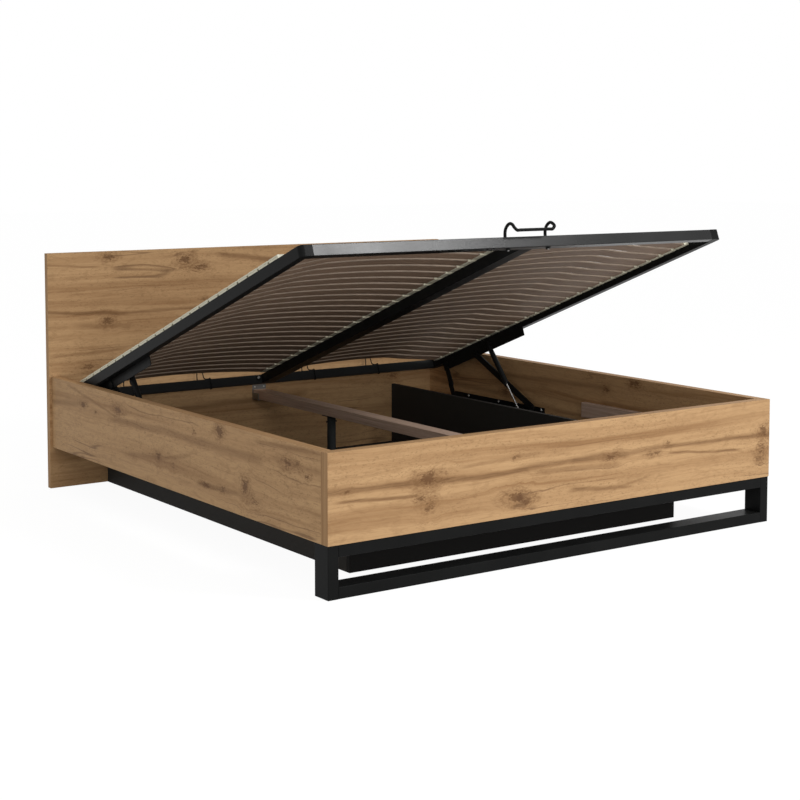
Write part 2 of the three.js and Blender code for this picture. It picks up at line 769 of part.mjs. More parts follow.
// Cambered slats. Their inner ends lie in double holders on the centre bar, their outer ends in holders
// that sit on the side tubes and hang down inside them.
// The holders of a row share a thin base strip, and a column's slats a narrow one along their outer ends.
function addSlats() {
  const holderBottom = fit;
  const slatBottom = holderBottom + holderWall + fit;
  const slatTop = slatBottom + slatThickness;
  const holderTop = slatTop + fit + holderWall;
  const outerEdge = frameHalfWidth;
  const slotIn = holderDepth;
  const slotOut = outerEdge - holderDepth;
  const hangOut = tubeIn - fit;
  const hangIn = hangOut - holderWall;
  const slatIn = holderWall / 2 + slatEndPlay;
  const slatOut = hangIn - slatEndPlay;
  const middle = (slotIn + slotOut) / 2;
  const half = (slotOut - slotIn) / 2;
  const rise = (x) => slatCamber * (1 - ((x - middle) / half) ** 2);
  const firstY = slatFromFoot;
  const lastY = frameLength - slatFromHead;
  const gaps = Math.round((lastY - firstY) / slatPitch);
  const ys = Array.from({ length: gaps + 1 }, (_, i) => firstY + i * (lastY - firstY) / gaps);
  const along = (shape, width) => ys.map((y) => plateAlong(shape, y - width / 2, y + width / 2));
  const strip = (middleX, width, bottom, top) => box(
    middleX - width / 2, middleX + width / 2, firstY, lastY, bottom, top,
  );
  const outline = (points) => new THREE.Shape(points.map(([x, z]) => new THREE.Vector2(x, z)));

  // A double holder on the centre bar: an H lying on its side
  const web = holderWall / 2;
  const doubleHolder = outline([
    [-slotIn, holderBottom], [slotIn, holderBottom], [slotIn, slatBottom - fit], [web, slatBottom - fit],
    [web, slatTop + fit], [slotIn, slatTop + fit], [slotIn, holderTop], [-slotIn, holderTop],
    [-slotIn, slatTop + fit], [-web, slatTop + fit], [-web, slatBottom - fit], [-slotIn, slatBottom - fit],
  ]);
  add(slatFrame, 'slat_holders_inner', 'holderPlastic', join(
    strip(0, stripWidth, holderBottom, holderBottom + stripThickness),
    ...along(doubleHolder, holderLength),
  ));

  for (const [name, side] of sides) {
    const low = (z) => z - slatStepDown;
    const holder = outline([
      [outerEdge, holderBottom], [hangOut, holderBottom], [hangOut, low(holderBottom)],
      [slotOut, low(holderBottom)], [slotOut, low(slatBottom - fit)], [hangIn, low(slatBottom - fit)],
      [hangIn, low(slatTop + fit)], [slotOut, low(slatTop + fit)], [slotOut, low(holderTop)],
      [hangIn, low(holderTop)], [hangIn, holderTop], [outerEdge, holderTop],
    ].map(([x, z]) => [side * x, z]));
    add(slatFrame, `slat_holders_${name}`, 'holderPlastic', join(
      strip(side * (outerEdge + hangIn) / 2, stripWidth, holderBottom, holderBottom + stripThickness),
      ...along(holder, holderLength),
    ));

    const [stepStart, stepEnd] = slatSteps[name];
    const line = [[slatIn, 0]];
    for (let i = 0; i <= slatArcSteps; i += 1) {
      const x = slotIn + (stepStart - slotIn) * i / slatArcSteps;
      line.push([x, rise(x)]);
    }
    for (const x of [stepEnd, (stepEnd + slotOut) / 2, slotOut]) line.push([x, low(rise(x))]);
    line.push([slatOut, low(0)]);
    const slat = outline([
      ...line.map(([x, z]) => [side * x, slatBottom + z]),
      ...line.reverse().map(([x, z]) => [side * x, slatTop + z]),
    ]);
    add(slatFrame, `slats_${name}`, 'greyBeech', join(
      strip(side * (slatOut - slatStripWidth / 2), slatStripWidth, low(slatBottom) + 1, low(slatTop) - 1),
      ...along(slat, slatWidth),
    ));
  }
}

// Bent wires that keep the mattress from sliding
function addRetainers() {
  const footY = tubeWidth / 2;
  const barY = footY - retainerReach;
  const arch = (side) => [
    [side * retainerHalfSpan, footY, fit],
    ...retainerArch.map(([forward, rise]) => [side * retainerHalfSpan, footY - forward, rise]),
    [side * (retainerHalfSpan - retainerWire), barY, retainerBarHeight],
  ];
  const barEnd = retainerHalfSpan - retainerBend;
  const route = [
    ...arch(-1),
    [-barEnd, barY, retainerBarHeight],
    [barEnd, barY, retainerBarHeight],
    ...arch(1).reverse(),
  ];
  add(slatFrame, 'foot_retainer', 'blackSteel',
    wire(route.map((point) => new THREE.Vector3(...point)), retainerWire, wireArcSteps, wireSides));

  // Hairpins clipped round the head crossbar: under it, up its front face, over it and up to a narrow top
  const crossbarFront = frameLength - crossbarWidth;
  const standY = frameLength - hairpinSetback;
  const clear = fit + hairpinWire / 2;
  hairpinPlaces.forEach((x, i) => {
    const points = [
      [x, crossbarFront + crossbarWidth / 2, -tubeHeight - clear],
      [x, crossbarFront - clear, -tubeHeight - clear],
      [x, crossbarFront - clear, -tubeHeight / 2],
      [x, crossbarFront - clear, clear],
      [x, crossbarFront + crossbarWidth / 2, clear],
      [x - hairpinNearFootStep, standY, clear + hairpinWire],
      [x - hairpinLegStep, standY, hairpinHeight - hairpinWire],
      [x - hairpinTopStep, standY, hairpinHeight],
      [x - hairpinFarLegStep, standY, hairpinHeight - hairpinWire],
      [x - hairpinFarFootStep, standY, clear],
    ];
    add(slatFrame, `head_retainer_${i + 1}`, 'blackSteel',
      wire(points.map((point) => new THREE.Vector3(...point)), hairpinWire, hairpinSteps, hairpinSides));
  });
}

addBoards();
addCornerBrackets();
addLegFrame();
addCentreLeg(addContainer());
addBattens();
addBeam();
addLiftBases();
addLinks();
addGasSprings();
addTubes();
addLiftPlates();
addSlats();
addRetainers();

export default bed;
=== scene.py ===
"""Ottoman bed with an oak decor surround, a black steel leg frame and a lift-up slat frame.

Sizes are in metres, apart from the table of the boards' decor. The origin is on the floor under the
middle of the bed, the headboard is at +Y, and the slat frame is modelled flat in its own frame and
then laid in its open place.
"""

import json
import math

import bmesh
import bpy
from bpy.props import FloatProperty, FloatVectorProperty, PointerProperty
from mathutils import Matrix, Vector


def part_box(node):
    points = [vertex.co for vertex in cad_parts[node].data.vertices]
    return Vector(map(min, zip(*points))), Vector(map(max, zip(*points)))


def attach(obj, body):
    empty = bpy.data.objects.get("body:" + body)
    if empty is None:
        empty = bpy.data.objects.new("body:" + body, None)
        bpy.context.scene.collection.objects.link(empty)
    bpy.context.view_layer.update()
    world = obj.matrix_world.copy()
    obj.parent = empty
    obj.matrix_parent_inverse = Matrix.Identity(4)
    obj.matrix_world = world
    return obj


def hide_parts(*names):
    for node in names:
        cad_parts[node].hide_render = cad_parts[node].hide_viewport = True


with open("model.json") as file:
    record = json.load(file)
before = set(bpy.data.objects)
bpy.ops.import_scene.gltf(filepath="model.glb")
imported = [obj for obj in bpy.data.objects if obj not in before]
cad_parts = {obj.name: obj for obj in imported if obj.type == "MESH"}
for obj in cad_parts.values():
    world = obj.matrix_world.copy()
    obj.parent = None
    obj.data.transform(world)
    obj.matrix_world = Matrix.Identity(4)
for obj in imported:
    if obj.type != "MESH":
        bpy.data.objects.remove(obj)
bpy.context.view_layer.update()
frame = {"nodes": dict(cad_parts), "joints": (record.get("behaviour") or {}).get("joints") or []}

bl_info = {
    "name": "Ottoman bed",
    "version": (1, 0, 0),
    "blender": (4, 5, 0),
    "location": "View3D > Sidebar > Ottoman bed",
    "description": "Builds an ottoman bed with its lift mechanism and slats",
    "category": "Object",
}

# Place of the slat frame: its tilt about X, and the pivot that it shares with the rear links
OPEN_TILT = math.radians(20.68)
REAR_PIVOT_FROM_FOOT = 1.7663
REAR_PIVOT_DROP = 0.05
SIDES = (("left", -1), ("right", 1))

# Slats, each from its holder on the centre bar to its holder on a side tube. Its outer end lies lower
# than its inner one: it steps down between two places, counted from the middle of the bed.
SLAT_PITCH = 0.071
SLAT_WIDTH = 0.054
SLAT_THICKNESS = 0.008
SLAT_CAMBER = 0.018
SLAT_STEP_DOWN = 0.015
SLAT_STEPS = {"left": (0.640, 0.766), "right": (0.580, 0.690)}
HOLDER_WALL = 0.0017
HOLDER_LENGTH = 0.058

# The gap between pieces that touch, and the tolerance to find a face or edge by its place
FIT = 0.0003
NEAR = 1e-5


def slat_frame_place():
    """Matrix from the slat frame's own flat axes to its open place."""
    pivot = next(j["pos_m"] for j in frame["joints"] if j["name"] == "frame_tilt")
    turn = Matrix.Rotation(-OPEN_TILT, 4, "X")
    offset = turn @ Vector((0, REAR_PIVOT_FROM_FOOT, -REAR_PIVOT_DROP))
    return Matrix.Translation(Vector((0, pivot[1], pivot[2])) - Vector((0, offset.y, offset.z))) @ turn


SLAT_FRAME = slat_frame_place()


# Mesh helpers


def deselect():
    bpy.ops.object.select_all(action="DESELECT")


def only(piece):
    deselect()
    piece.select_set(True)
    bpy.context.view_layer.objects.active = piece


def apply_place(piece):
    only(piece)
    bpy.ops.object.transform_apply(location=True, rotation=True, scale=True)


def edit(piece, kind, action="DESELECT"):
    """Enters edit mode with nothing, or all, of one piece selected."""
    only(piece)
    bpy.ops.object.mode_set(mode="EDIT")
    bpy.ops.mesh.select_mode(type=kind)
    bpy.ops.mesh.select_all(action=action)


def leave_edit():
    bpy.ops.object.mode_set(mode="OBJECT")


def close_edit():
    """Turns every face outwards and leaves edit mode."""
    bpy.ops.mesh.select_all(action="SELECT")
    bpy.ops.mesh.normals_make_consistent(inside=False)
    leave_edit()


def select_faces(piece, test):
    """Enters edit mode with the faces selected whose centre and normal pass the test."""
    edit(piece, "FACE")
    mesh = bmesh.from_edit_mesh(piece.data)
    for face in mesh.faces:
        face.select_set(test(face.calc_center_median(), face.normal))
    bmesh.update_edit_mesh(piece.data)


def select_edges(piece, test):
    """Enters edit mode with the edges selected whose middle and direction pass the test."""
    edit(piece, "EDGE")
    mesh = bmesh.from_edit_mesh(piece.data)
    for edge in mesh.edges:
        a, b = edge.verts[0].co, edge.verts[1].co
        edge.select_set(test((a + b) / 2, (b - a).normalized()))
    bmesh.update_edit_mesh(piece.data)


def extrude(x, y, z):
    bpy.ops.mesh.extrude_region_move(TRANSFORM_OT_translate={"value": (x, y, z)})


def bevel_selected(width, segments=2):
    bpy.ops.mesh.bevel(offset=width, segments=segments, profile=0.5, affect="EDGES", clamp_overlap=True)
    leave_edit()


def added(name, scale=(1, 1, 1)):
    """Names and sizes the piece that was just added, and applies its place."""
    piece = bpy.context.object
    piece.name = name
    piece.scale = scale
    apply_place(piece)
    return piece


def block(name, low, high, ease=0.001, segments=2):
    """A box between two corners with eased edges."""
    low, high = Vector(low), Vector(high)
    deselect()
    bpy.ops.mesh.primitive_cube_add(size=1, location=(low + high) / 2)
    piece = added(name, high - low)
    if ease:
        select_edges(piece, lambda middle, along: True)
        bevel_selected(ease, segments)
    return piece


def tube(name, low, high, axis, corner, end=0.0006):
    """A rectangular steel tube: rounded corners along its length and eased ends."""
    piece = block(name, low, high, ease=0)
    select_edges(piece, lambda middle, along: abs(along[axis]) > 0.9)
    bevel_selected(corner, 4)
    first, last = low[axis], high[axis]
    select_edges(
        piece,
        lambda middle, along: min(abs(middle[axis] - first), abs(middle[axis] - last)) < NEAR
        and abs(along[axis]) < 0.5,
    )
    bevel_selected(end)
    return piece


def turned(name, profile, centre, direction, steps=32):
    """A turned piece. The profile gives radius and distance along the direction from the centre."""
    radius, along = profile[0]
    deselect()
    bpy.ops.mesh.primitive_circle_add(
        vertices=steps, radius=radius, fill_type="NGON", location=(0, 0, along))
    piece = added(name)
    edit(piece, "FACE", "SELECT")
    for next_radius, next_along in profile[1:]:
        extrude(0, 0, next_along - along)
        ratio = next_radius / radius
        bpy.ops.transform.resize(value=(ratio, ratio, 1))
        radius, along = next_radius, next_along
    close_edit()
    turn = Vector(direction).to_track_quat("Z", "Y").to_matrix().to_4x4()
    piece.matrix_world = Matrix.Translation(centre) @ turn
    apply_place(piece)
    return piece


def screw(name, place, direction, radius=0.0045):
    """A pan-head screw: its head stands on the place and has a round recess."""
    return turned(name, [
        (radius, 0), (radius, 0.0008), (radius * 0.86, 0.0019), (radius * 0.60, 0.0023),
        (radius * 0.42, 0.0023), (radius * 0.38, 0.0009),
    ], place, direction, 18)


def hexagon(name, place, direction, radius, height):
    """A hexagon nut or bolt head with a chamfered top."""
    piece = turned(name, [(radius, 0), (radius, height)], place, direction, 6)
    top = Vector(place) + Vector(direction).normalized() * height
    select_edges(piece, lambda middle, along: abs((middle - top) @ Vector(direction)) < NEAR)
    bevel_selected(radius * 0.12)
    return piece


def swept(name, low_y, bottom, width, height, stations):
    """A bar drawn along X through stations, each with its x and its rise."""
    x, rise = stations[0]
    start = (x, low_y + width / 2, bottom + rise + height / 2)
    deselect()
    bpy.ops.mesh.primitive_plane_add(size=1, location=start, rotation=(0, math.radians(90), 0))
    piece = added(name, (height, width, 1))
    edit(piece, "FACE", "SELECT")
    for next_x, next_rise in stations[1:]:
        extrude(next_x - x, 0, next_rise - rise)
        x, rise = next_x, next_rise
    close_edit()
    return piece


def wire(name, points, diameter, sides=12):
    """A bent round wire through points."""
    spline_points = smooth_route(points)
    curve = bpy.data.curves.new(name, "CURVE")
    curve.dimensions = "3D"
    curve.bevel_depth = diameter / 2
    curve.bevel_resolution = sides // 4
    curve.use_fill_caps = True
    spline = curve.splines.new("POLY")
    spline.points.add(len(spline_points) - 1)
    for target, point in zip(spline.points, spline_points):
        target.co = (*point, 1)
    piece = bpy.data.objects.new(name, curve)
    bpy.context.scene.collection.objects.link(piece)
    only(piece)
    bpy.ops.object.convert(target="MESH")
    piece = bpy.context.object
    piece.name = name
    return piece


def smooth_route(points, per_span=8):
    """Centripetal Catmull-Rom points through a route."""
    points = [Vector(p) for p in points]
    ends = [2 * points[0] - points[1], *points, 2 * points[-1] - points[-2]]
    route = []
    for p0, p1, p2, p3 in zip(ends, ends[1:], ends[2:], ends[3:]):
        t = [0]
        for a, b in ((p0, p1), (p1, p2), (p2, p3)):
            t.append(t[-1] + max((b - a).length, 1e-6) ** 0.5)
        for step in range(per_span):
            at = t[1] + (t[2] - t[1]) * step / per_span

            def mixed(a, b, first, last):
                return a.lerp(b, (at - t[first]) / (t[last] - t[first]))

            middle = mixed(p1, p2, 1, 2)
            before = mixed(mixed(p0, p1, 0, 1), middle, 0, 2)
            after = mixed(middle, mixed(p2, p3, 2, 3), 1, 3)
            route.append(mixed(before, after, 1, 2))
    route.append(points[-1])
    return route


def refined(node, width=0.0006, segments=2):
    """A copy of a CAD node with merged vertices, whole faces and eased edges."""
    piece = bpy.data.objects.new(f"{node}_finished", frame["nodes"][node].data.copy())
    bpy.context.scene.collection.objects.link(piece)
    edit(piece, "VERT", "SELECT")
    bpy.ops.mesh.remove_doubles(threshold=NEAR)
    bpy.ops.mesh.dissolve_limited(angle_limit=math.radians(1))
    leave_edit()
    if width:
        bevel = piece.modifiers.new("Eased edges", "BEVEL")
        bevel.width = width
        bevel.segments = segments
        bevel.limit_method = "ANGLE"
        bevel.angle_limit = math.radians(35)
        bpy.ops.object.modifier_apply(modifier=bevel.name)
    return piece


def repeat(piece, count, pitch):
    """Copies a piece along the slat frame."""
    only(piece)
    array = piece.modifiers.new("Row", "ARRAY")
    array.count = count
    array.use_relative_offset = False
    array.use_constant_offset = True
    array.constant_offset_displace = (0, pitch, 0)
    bpy.ops.object.modifier_apply(modifier=array.name)


def joined(name, pieces):
    deselect()
    for piece in pieces:
        piece.select_set(True)
    bpy.context.view_layer.objects.active = pieces[0]
    bpy.ops.object.join()
    piece = bpy.context.object
    piece.name = name
    return piece


def to_slat_frame(piece):
    """Lays a piece that was modelled in the slat frame's flat axes in its open place."""
    piece.matrix_world = SLAT_FRAME @ piece.matrix_world
    apply_place(piece)
    return piece


def flat_box(node):
    """Lowest and highest corner of a CAD node in the slat frame's flat axes."""
    back = SLAT_FRAME.inverted()
    points = [back @ v.co for v in frame["nodes"][node].data.vertices]
    return [Vector([pick(p[i] for p in points) for i in range(3)]) for pick in (min, max)]


def finish(piece, body, slot, *materials, nodes=(), smooth=35):
    """Gives a piece its finish, ties it to its body and hides the CAD nodes that it stands for."""
    only(piece)
    bpy.ops.object.shade_smooth_by_angle(angle=math.radians(smooth))
    flat = piece.modifiers.new("Flat faces", "WEIGHTED_NORMAL")
    flat.weight = 100
    flat.keep_sharp = True
    bpy.ops.object.modifier_apply(modifier=flat.name)
    piece.data.materials.clear()
    for material in materials:
        piece.data.materials.append(material)
    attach(piece, body)
    if nodes:
        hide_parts(*nodes)
    return piece


def lay(piece, slot, *materials, **options):
    """Finishes a piece of the slat frame that was modelled in the frame's flat axes."""
    return finish(to_slat_frame(piece), "slat_frame", slot, *materials, **options)


def dress(node, ease, body, slot, material, smooth=35):
    """Puts a finished copy of a CAD node in that node's place."""
    finish(refined(node, ease), body, slot, material, nodes=[node], smooth=smooth)


def paint(piece, index, test):
    """Gives the faces that pass the test the piece's material of that index."""
    for face in piece.data.polygons:
        if test(face.center, face.normal):
            face.material_index = index


# Materials


class Value:
    """A shader socket. Python arithmetic on it adds Math nodes."""

    def __init__(self, nodes, socket):
        self.nodes, self.socket = nodes, socket

    def __add__(self, other):
        return self.nodes.maths("ADD", self, other)

    def __sub__(self, other):
        return self.nodes.maths("SUBTRACT", self, other)

    def __rsub__(self, other):
        return self.nodes.maths("SUBTRACT", other, self)

    def __mul__(self, other):
        return self.nodes.maths("MULTIPLY", self, other)

    def __truediv__(self, other):
        return self.nodes.maths("DIVIDE", self, other)

    def __abs__(self):
        return self.nodes.maths("ABSOLUTE", self)

    __radd__ = __add__
    __rmul__ = __mul__


class Nodes:
    """A node tree, with a short way to add each kind of node."""

    def __init__(self, tree):
        self.tree = tree

    def node(self, kind, settings=None, values=(), output=0):
        """Adds a node: its settings first, then the values or links of its sockets."""
        node = self.tree.nodes.new(kind)
        for key, value in (settings or {}).items():
            if key == "stops":
                self.set_stops(node.color_ramp, value)
            else:
                setattr(node, key, value)
        pairs = values.items() if isinstance(values, dict) else enumerate(values)
        for key, value in pairs:
            self.feed(node.inputs[key], value)
        return Value(self, node.outputs[output])

    @staticmethod
    def set_stops(ramp, stops):
        while len(ramp.elements) < len(stops):
            ramp.elements.new(1)
        for element, (position, colour) in zip(ramp.elements, stops):
            element.position, element.color = position, (*colour, 1)

    def feed(self, socket, value):
        if isinstance(value, Value):
            self.tree.links.new(value.socket, socket)
        else:
            socket.default_value = value

    def maths(self, operation, *values):
        return self.node("ShaderNodeMath", {"operation": operation}, values)

    def vector_maths(self, operation, *values, output=0):
        return self.node("ShaderNodeVectorMath", {"operation": operation}, values, output)

    def split(self, vector):
        node = self.tree.nodes.new("ShaderNodeSeparateXYZ")
        self.feed(node.inputs[0], vector)
        return [Value(self, output) for output in node.outputs]

    def along(self, axes, turn=0.0):
        """The object coordinates along the named axes."""
        place = self.split(self.coordinates(turn))
        return [place["xyz".index(axis)] for axis in axes]

    def coordinates(self, turn=0.0):
        """Object coordinates, turned back about X where the piece lies tilted."""
        place = self.node("ShaderNodeTexCoord", output="Object")
        if not turn:
            return place
        return self.node("ShaderNodeMapping", {}, {"Vector": place, "Rotation": (turn, 0, 0)})

    def vector(self, x, y, z):
        return self.node("ShaderNodeCombineXYZ", {}, (x, y, z))

    def stretched(self, vector, scale, shift=(0, 0, 0)):
        return self.vector_maths("MULTIPLY_ADD", vector, scale, shift)

    def noise(self, vector, scale=1.0, detail=2.0, roughness=0.5, distortion=0.0, output=0):
        return self.node("ShaderNodeTexNoise", {}, {
            "Vector": vector, "Scale": scale, "Detail": detail,
            "Roughness": roughness, "Distortion": distortion,
        }, output)

    def pattern(self, vector, scale, shift=(0, 0, 0), **settings):
        """Noise on stretched and shifted coordinates."""
        return self.noise(self.stretched(vector, scale, shift), **settings)

    def step(self, value, low, high):
        """0 below low and 1 above high, with a soft step between."""
        return self.node("ShaderNodeMapRange", {"interpolation_type": "SMOOTHSTEP"},
                         {"Value": value, "From Min": low, "From Max": high})

    def ramp(self, value, *stops):
        return self.node("ShaderNodeValToRGB", {"stops": stops}, (value,))

    def mix(self, factor, first, second):
        values = {0: factor}
        for key, colour in ((6, first), (7, second)):
            values[key] = colour if isinstance(colour, Value) else (*colour, 1)
        return self.node("ShaderNodeMix", {"data_type": "RGBA"}, values, output=2)

    def bump(self, height, distance, strength):
        values = {"Height": height, "Distance": distance, "Strength": strength}
        return self.node("ShaderNodeBump", {}, values)


class Finish(Nodes):
    """A material: its Principled BSDF and the nodes that vary it over the surface."""

    def __init__(self, name, **constants):
        self.material = bpy.data.materials.new(name)
        self.material.use_nodes = True
        super().__init__(self.material.node_tree)
        self.set(**constants)

    def set(self, **values):
        """Sets or feeds the shader's sockets."""
        for socket, value in values.items():
            self.feed(self.tree.nodes["Principled BSDF"].inputs[socket.replace("_", " ")], value)
        return self.material


def times(colour, factor):
    """A colour made lighter or darker."""
    return tuple(c * factor for c in colour)


def between(first, second, share):
    """A colour with that share of the first colour and the rest of the second."""
    return tuple(a * share + b * (1 - share) for a, b in zip(first, second))


def oak_decor(name, axes, origin, knots, streaks, light, dark):
    """Rustic oak decor on board: bands and streaks that flow round dark cracked knots.

    axes gives the object axis along the grain, the one across it and the depth. The knots and streaks
    are those of DECOR, in metres.
    """
    f = Finish(name, Roughness=0.55, Specular_IOR_Level=0.16)
    u, v, w = f.along(axes)
    board = f.stretched(f.vector(u, v, w), (1, 1, 1), origin)
    flow = f.pattern(board, (0.9, 2.6, 2.0)) - 0.5
    ripple = f.pattern(board, (5.0, 16.0, 6.0), detail=3) - 0.5

    # The grain bends round the knots, whose outlines are ragged by up to this much each way
    ragged_along, ragged_across = 0.025, 0.018
    ragged = f.pattern(board, (22.0, 34.0, 20.0), detail=4, roughness=0.7, output=1)
    bent = f.stretched(ragged, (2 * ragged_along, 2 * ragged_across, 0), f.vector(u, v, 0))
    across = v + flow * 0.07 + ripple * 0.016
    core, halo, rings = None, None, None
    for along_knot, across_knot, length, height, depth in knots:
        shift = (-(along_knot + ragged_along) / length, -(across_knot + ragged_across) / height, 0)
        near = f.stretched(bent, (1 / length, 1 / height, 0), shift)
        distance = f.vector_maths("LENGTH", near, output=1)
        lobes = f.noise(f.vector_maths("NORMALIZE", near), scale=1.9, detail=3, roughness=0.7) * 2.6 - 0.3
        spread = f.step(distance * (0.4 + lobes * 0.6), 3.2, 0.2) * depth
        spot = f.step(distance * lobes, 1.25, 0.10) * depth
        across = across - f.split(near)[1] * spread * (height * 0.75)
        core = spot if core is None else core + spot
        halo = spread if halo is None else halo + spread
        rings = distance if rings is None else f.maths("MINIMUM", rings, distance)

    # Each streak fades out above and below its middle line, and past its two ends
    fade = 0.06
    dark_lines = None
    wander = v + ripple * 0.020 + flow * 0.012
    for u1, v1, u2, v2, height, depth in streaks:
        slope = (v2 - v1) / (u2 - u1)
        middle = f.maths("MULTIPLY_ADD", u, slope, v1 - slope * u1)
        start, end = min(u1, u2), max(u1, u2)
        body = f.step(abs(wander - middle), height, height * 0.15)
        window = f.step(u, start - fade, start) * f.step(u, end + fade, end)
        line = body * window * depth
        dark_lines = line if dark_lines is None else f.maths("MAXIMUM", dark_lines, line)

    # Bands, streaks, fine lines and fibres along the grain, and short flecks in clusters across it
    grain = f.vector(u + origin[0], across, w)
    band = f.pattern(grain, (0.6, 17.0, 8.0), detail=3, roughness=0.6)
    streak = f.pattern(grain, (2.0, 78.0, 30.0), detail=4, roughness=0.66)
    hair = f.pattern(grain, (5.0, 260.0, 90.0), (4, 8, 2), detail=3, roughness=0.6)
    fibre = f.pattern(grain, (22.0, 620.0, 300.0))
    fleck = f.pattern(board, (80.0, 190.0, 120.0), distortion=0.8)
    cluster = f.pattern(board, (3.0, 8.0, 4.0), (9, 4, 7))
    mottle = f.pattern(board, (14.0, 36.0, 20.0), (3, 6, 1), detail=4, roughness=0.7, distortion=1.2)
    ticks = f.step(fleck, 0.56, 0.66) * f.step(cluster, 0.36, 0.58)
    uneven = streak - 0.5
    colour = f.ramp(band + uneven * 0.55, (0.27, dark), (0.42, between(light, dark, 0.55)), (0.58, light))
    for mask, shade in (
        (f.step(streak, 0.50, 0.72) * 0.30, 0.80), (f.step(hair, 0.50, 0.74) * 0.22, 0.70),
        (f.step(fibre, 0.50, 0.80) * 0.24, 0.70), (ticks * 0.34, 0.55),
        (f.step(mottle, 0.46, 0.70) * 0.34, 0.85),
    ):
        colour = f.mix(mask, colour, times(dark, shade))
    umber = (dark[0] * 0.56, dark[1] * 0.50, dark[2] * 0.44)
    colour = f.mix(dark_lines * (0.30 + streak * 0.95), colour, umber)
    threads = f.step(dark_lines, 0.40, 1.0) * f.step(hair, 0.46, 0.62)
    colour = f.mix(threads * 0.55, colour, (0.110, 0.052, 0.024))

    # Feathered rings, flecks and a stain round each knot, and its dark core
    ring = f.maths("SINE", rings * 10.0 + streak * 5.0)
    stain = f.step(halo + uneven * 0.9 + (fleck - 0.5) * 0.5, 0.25, 1.0)
    for mask in (
        f.step(ring + uneven * 2.0, 0.1, 0.9) * f.step(halo, 0.12, 0.80) * 0.24,
        f.step(fleck, 0.44, 0.60) * f.step(halo, 0.25, 0.85) * 0.30, stain * 0.30,
    ):
        colour = f.mix(mask, colour, umber)
    core = f.step(core + uneven * 1.3 + (fleck - 0.5) * 1.1, 0.22, 0.80)
    colour = f.mix(core * 0.72, colour, (0.120, 0.054, 0.021))

    # Thin cracks here and there
    line = f.pattern(grain, (0.8, 11.0, 5.0), (11, 5, 2))
    gate = f.pattern(board, (1.8, 6.0, 2.0), (2, 9, 4), detail=1)
    crack = (1 - f.step(abs(line - 0.5), 0.0, 0.012)) * f.step(gate, 0.54, 0.64)
    colour = f.mix(crack * 0.55, colour, (0.10, 0.045, 0.020))
    height = streak * 0.5 + fibre * 0.3 - crack * 0.8
    return f.set(Base_Color=colour, Roughness=0.50 + streak * 0.14, Normal=f.bump(height, 0.0004, 0.5))


def edge_band(name, axes, light, dark):
    """The narrow oak band on a board's edge, its grain along the band."""
    f = Finish(name, Roughness=0.6, Specular_IOR_Level=0.16)
    grain = f.vector(*f.along(axes))
    streak = f.pattern(grain, (1.8, 110.0, 110.0), detail=3, roughness=0.6)
    broad = f.pattern(grain, (1.0, 24.0, 24.0), (5, 2, 7))
    middle = between(light, dark, 0.6)
    colour = f.ramp(streak * 0.6 + broad * 0.4, (0.36, times(dark, 0.85)), (0.62, middle))
    return f.set(Base_Color=colour, Normal=f.bump(streak, 0.0003, 0.4))


def powder_coat(name, colour, roughness=0.38, specular=0.045):
    """Matt black powder coat with a fine orange-peel surface."""
    f = Finish(name, Roughness=roughness, Specular_IOR_Level=specular)
    place = f.coordinates()
    peel = f.noise(place, scale=900.0)
    cloud = f.noise(place, scale=7.0, detail=3)
    worn = f.mix(f.step(cloud, 0.35, 0.75), colour, times(colour, 1.25))
    return f.set(Base_Color=worn, Roughness=roughness + (cloud - 0.5) * 0.12,
                 Normal=f.bump(peel, 0.00015, 0.35))


def black_laminate(name, colour):
    """Black melamine-faced board with a faint pearl texture."""
    f = Finish(name, Roughness=0.6, Specular_IOR_Level=0.05)
    pearl = f.noise(f.coordinates(), scale=650.0, detail=3, roughness=0.7)
    shade = f.mix(f.step(pearl, 0.4, 0.7), colour, times(colour, 1.3))
    return f.set(Base_Color=shade, Roughness=0.55 + pearl * 0.15, Normal=f.bump(pearl, 0.0002, 0.3))


def timber(name, axes, light, dark, turn=0.0, pitch=0.0):
    """Plain timber with straight grain. With a pitch, each slat gets its own shade."""
    f = Finish(name, Roughness=0.58, Specular_IOR_Level=0.14)
    u, v, w = f.along(axes, turn)
    wave = f.pattern(f.vector(u, v, w), (1.5, 6.0, 6.0)) - 0.5
    grain = f.vector(u, v + wave * 0.012, w + wave * 0.012)
    streak = f.pattern(grain, (2.2, 150.0, 150.0), detail=4, roughness=0.6)
    pore = f.pattern(grain, (24.0, 700.0, 700.0))
    tone = streak * 0.75 + pore * 0.25
    if pitch:
        number = f.maths("FLOOR", v / pitch)
        shade = f.node("ShaderNodeTexWhiteNoise", {"noise_dimensions": "1D"}, {"W": number})
        tone = tone + (shade - 0.5) * 0.14
    colour = f.ramp(tone, (0.34, dark), (0.66, light))
    return f.set(Base_Color=colour, Roughness=0.5 + streak * 0.15, Normal=f.bump(streak, 0.0003, 0.5))


def ply_edge(name, light, dark, turn):
    """Cut edge of a bent plywood slat, with short fibres along it."""
    f = Finish(name, Roughness=0.85, Specular_IOR_Level=0.05)
    fibre = f.pattern(f.vector(*f.along("xyz", turn)), (30.0, 200.0, 400.0))
    return f.set(Base_Color=f.ramp(fibre, (0.35, dark), (0.65, light)), Normal=f.bump(fibre, 0.0002, 0.4))


def moulded(name, colour):
    """Moulded plastic with a fine grain and a little variation."""
    f = Finish(name, Roughness=0.45, Specular_IOR_Level=0.4)
    place = f.coordinates()
    cloud = f.noise(place, scale=12.0)
    grain = f.noise(place, scale=1200.0, detail=1)
    shade = f.mix(cloud, colour, times(colour, 0.86))
    return f.set(Base_Color=shade, Roughness=0.45 + (cloud - 0.5) * 0.1, Normal=f.bump(grain, 0.0001, 0.3))


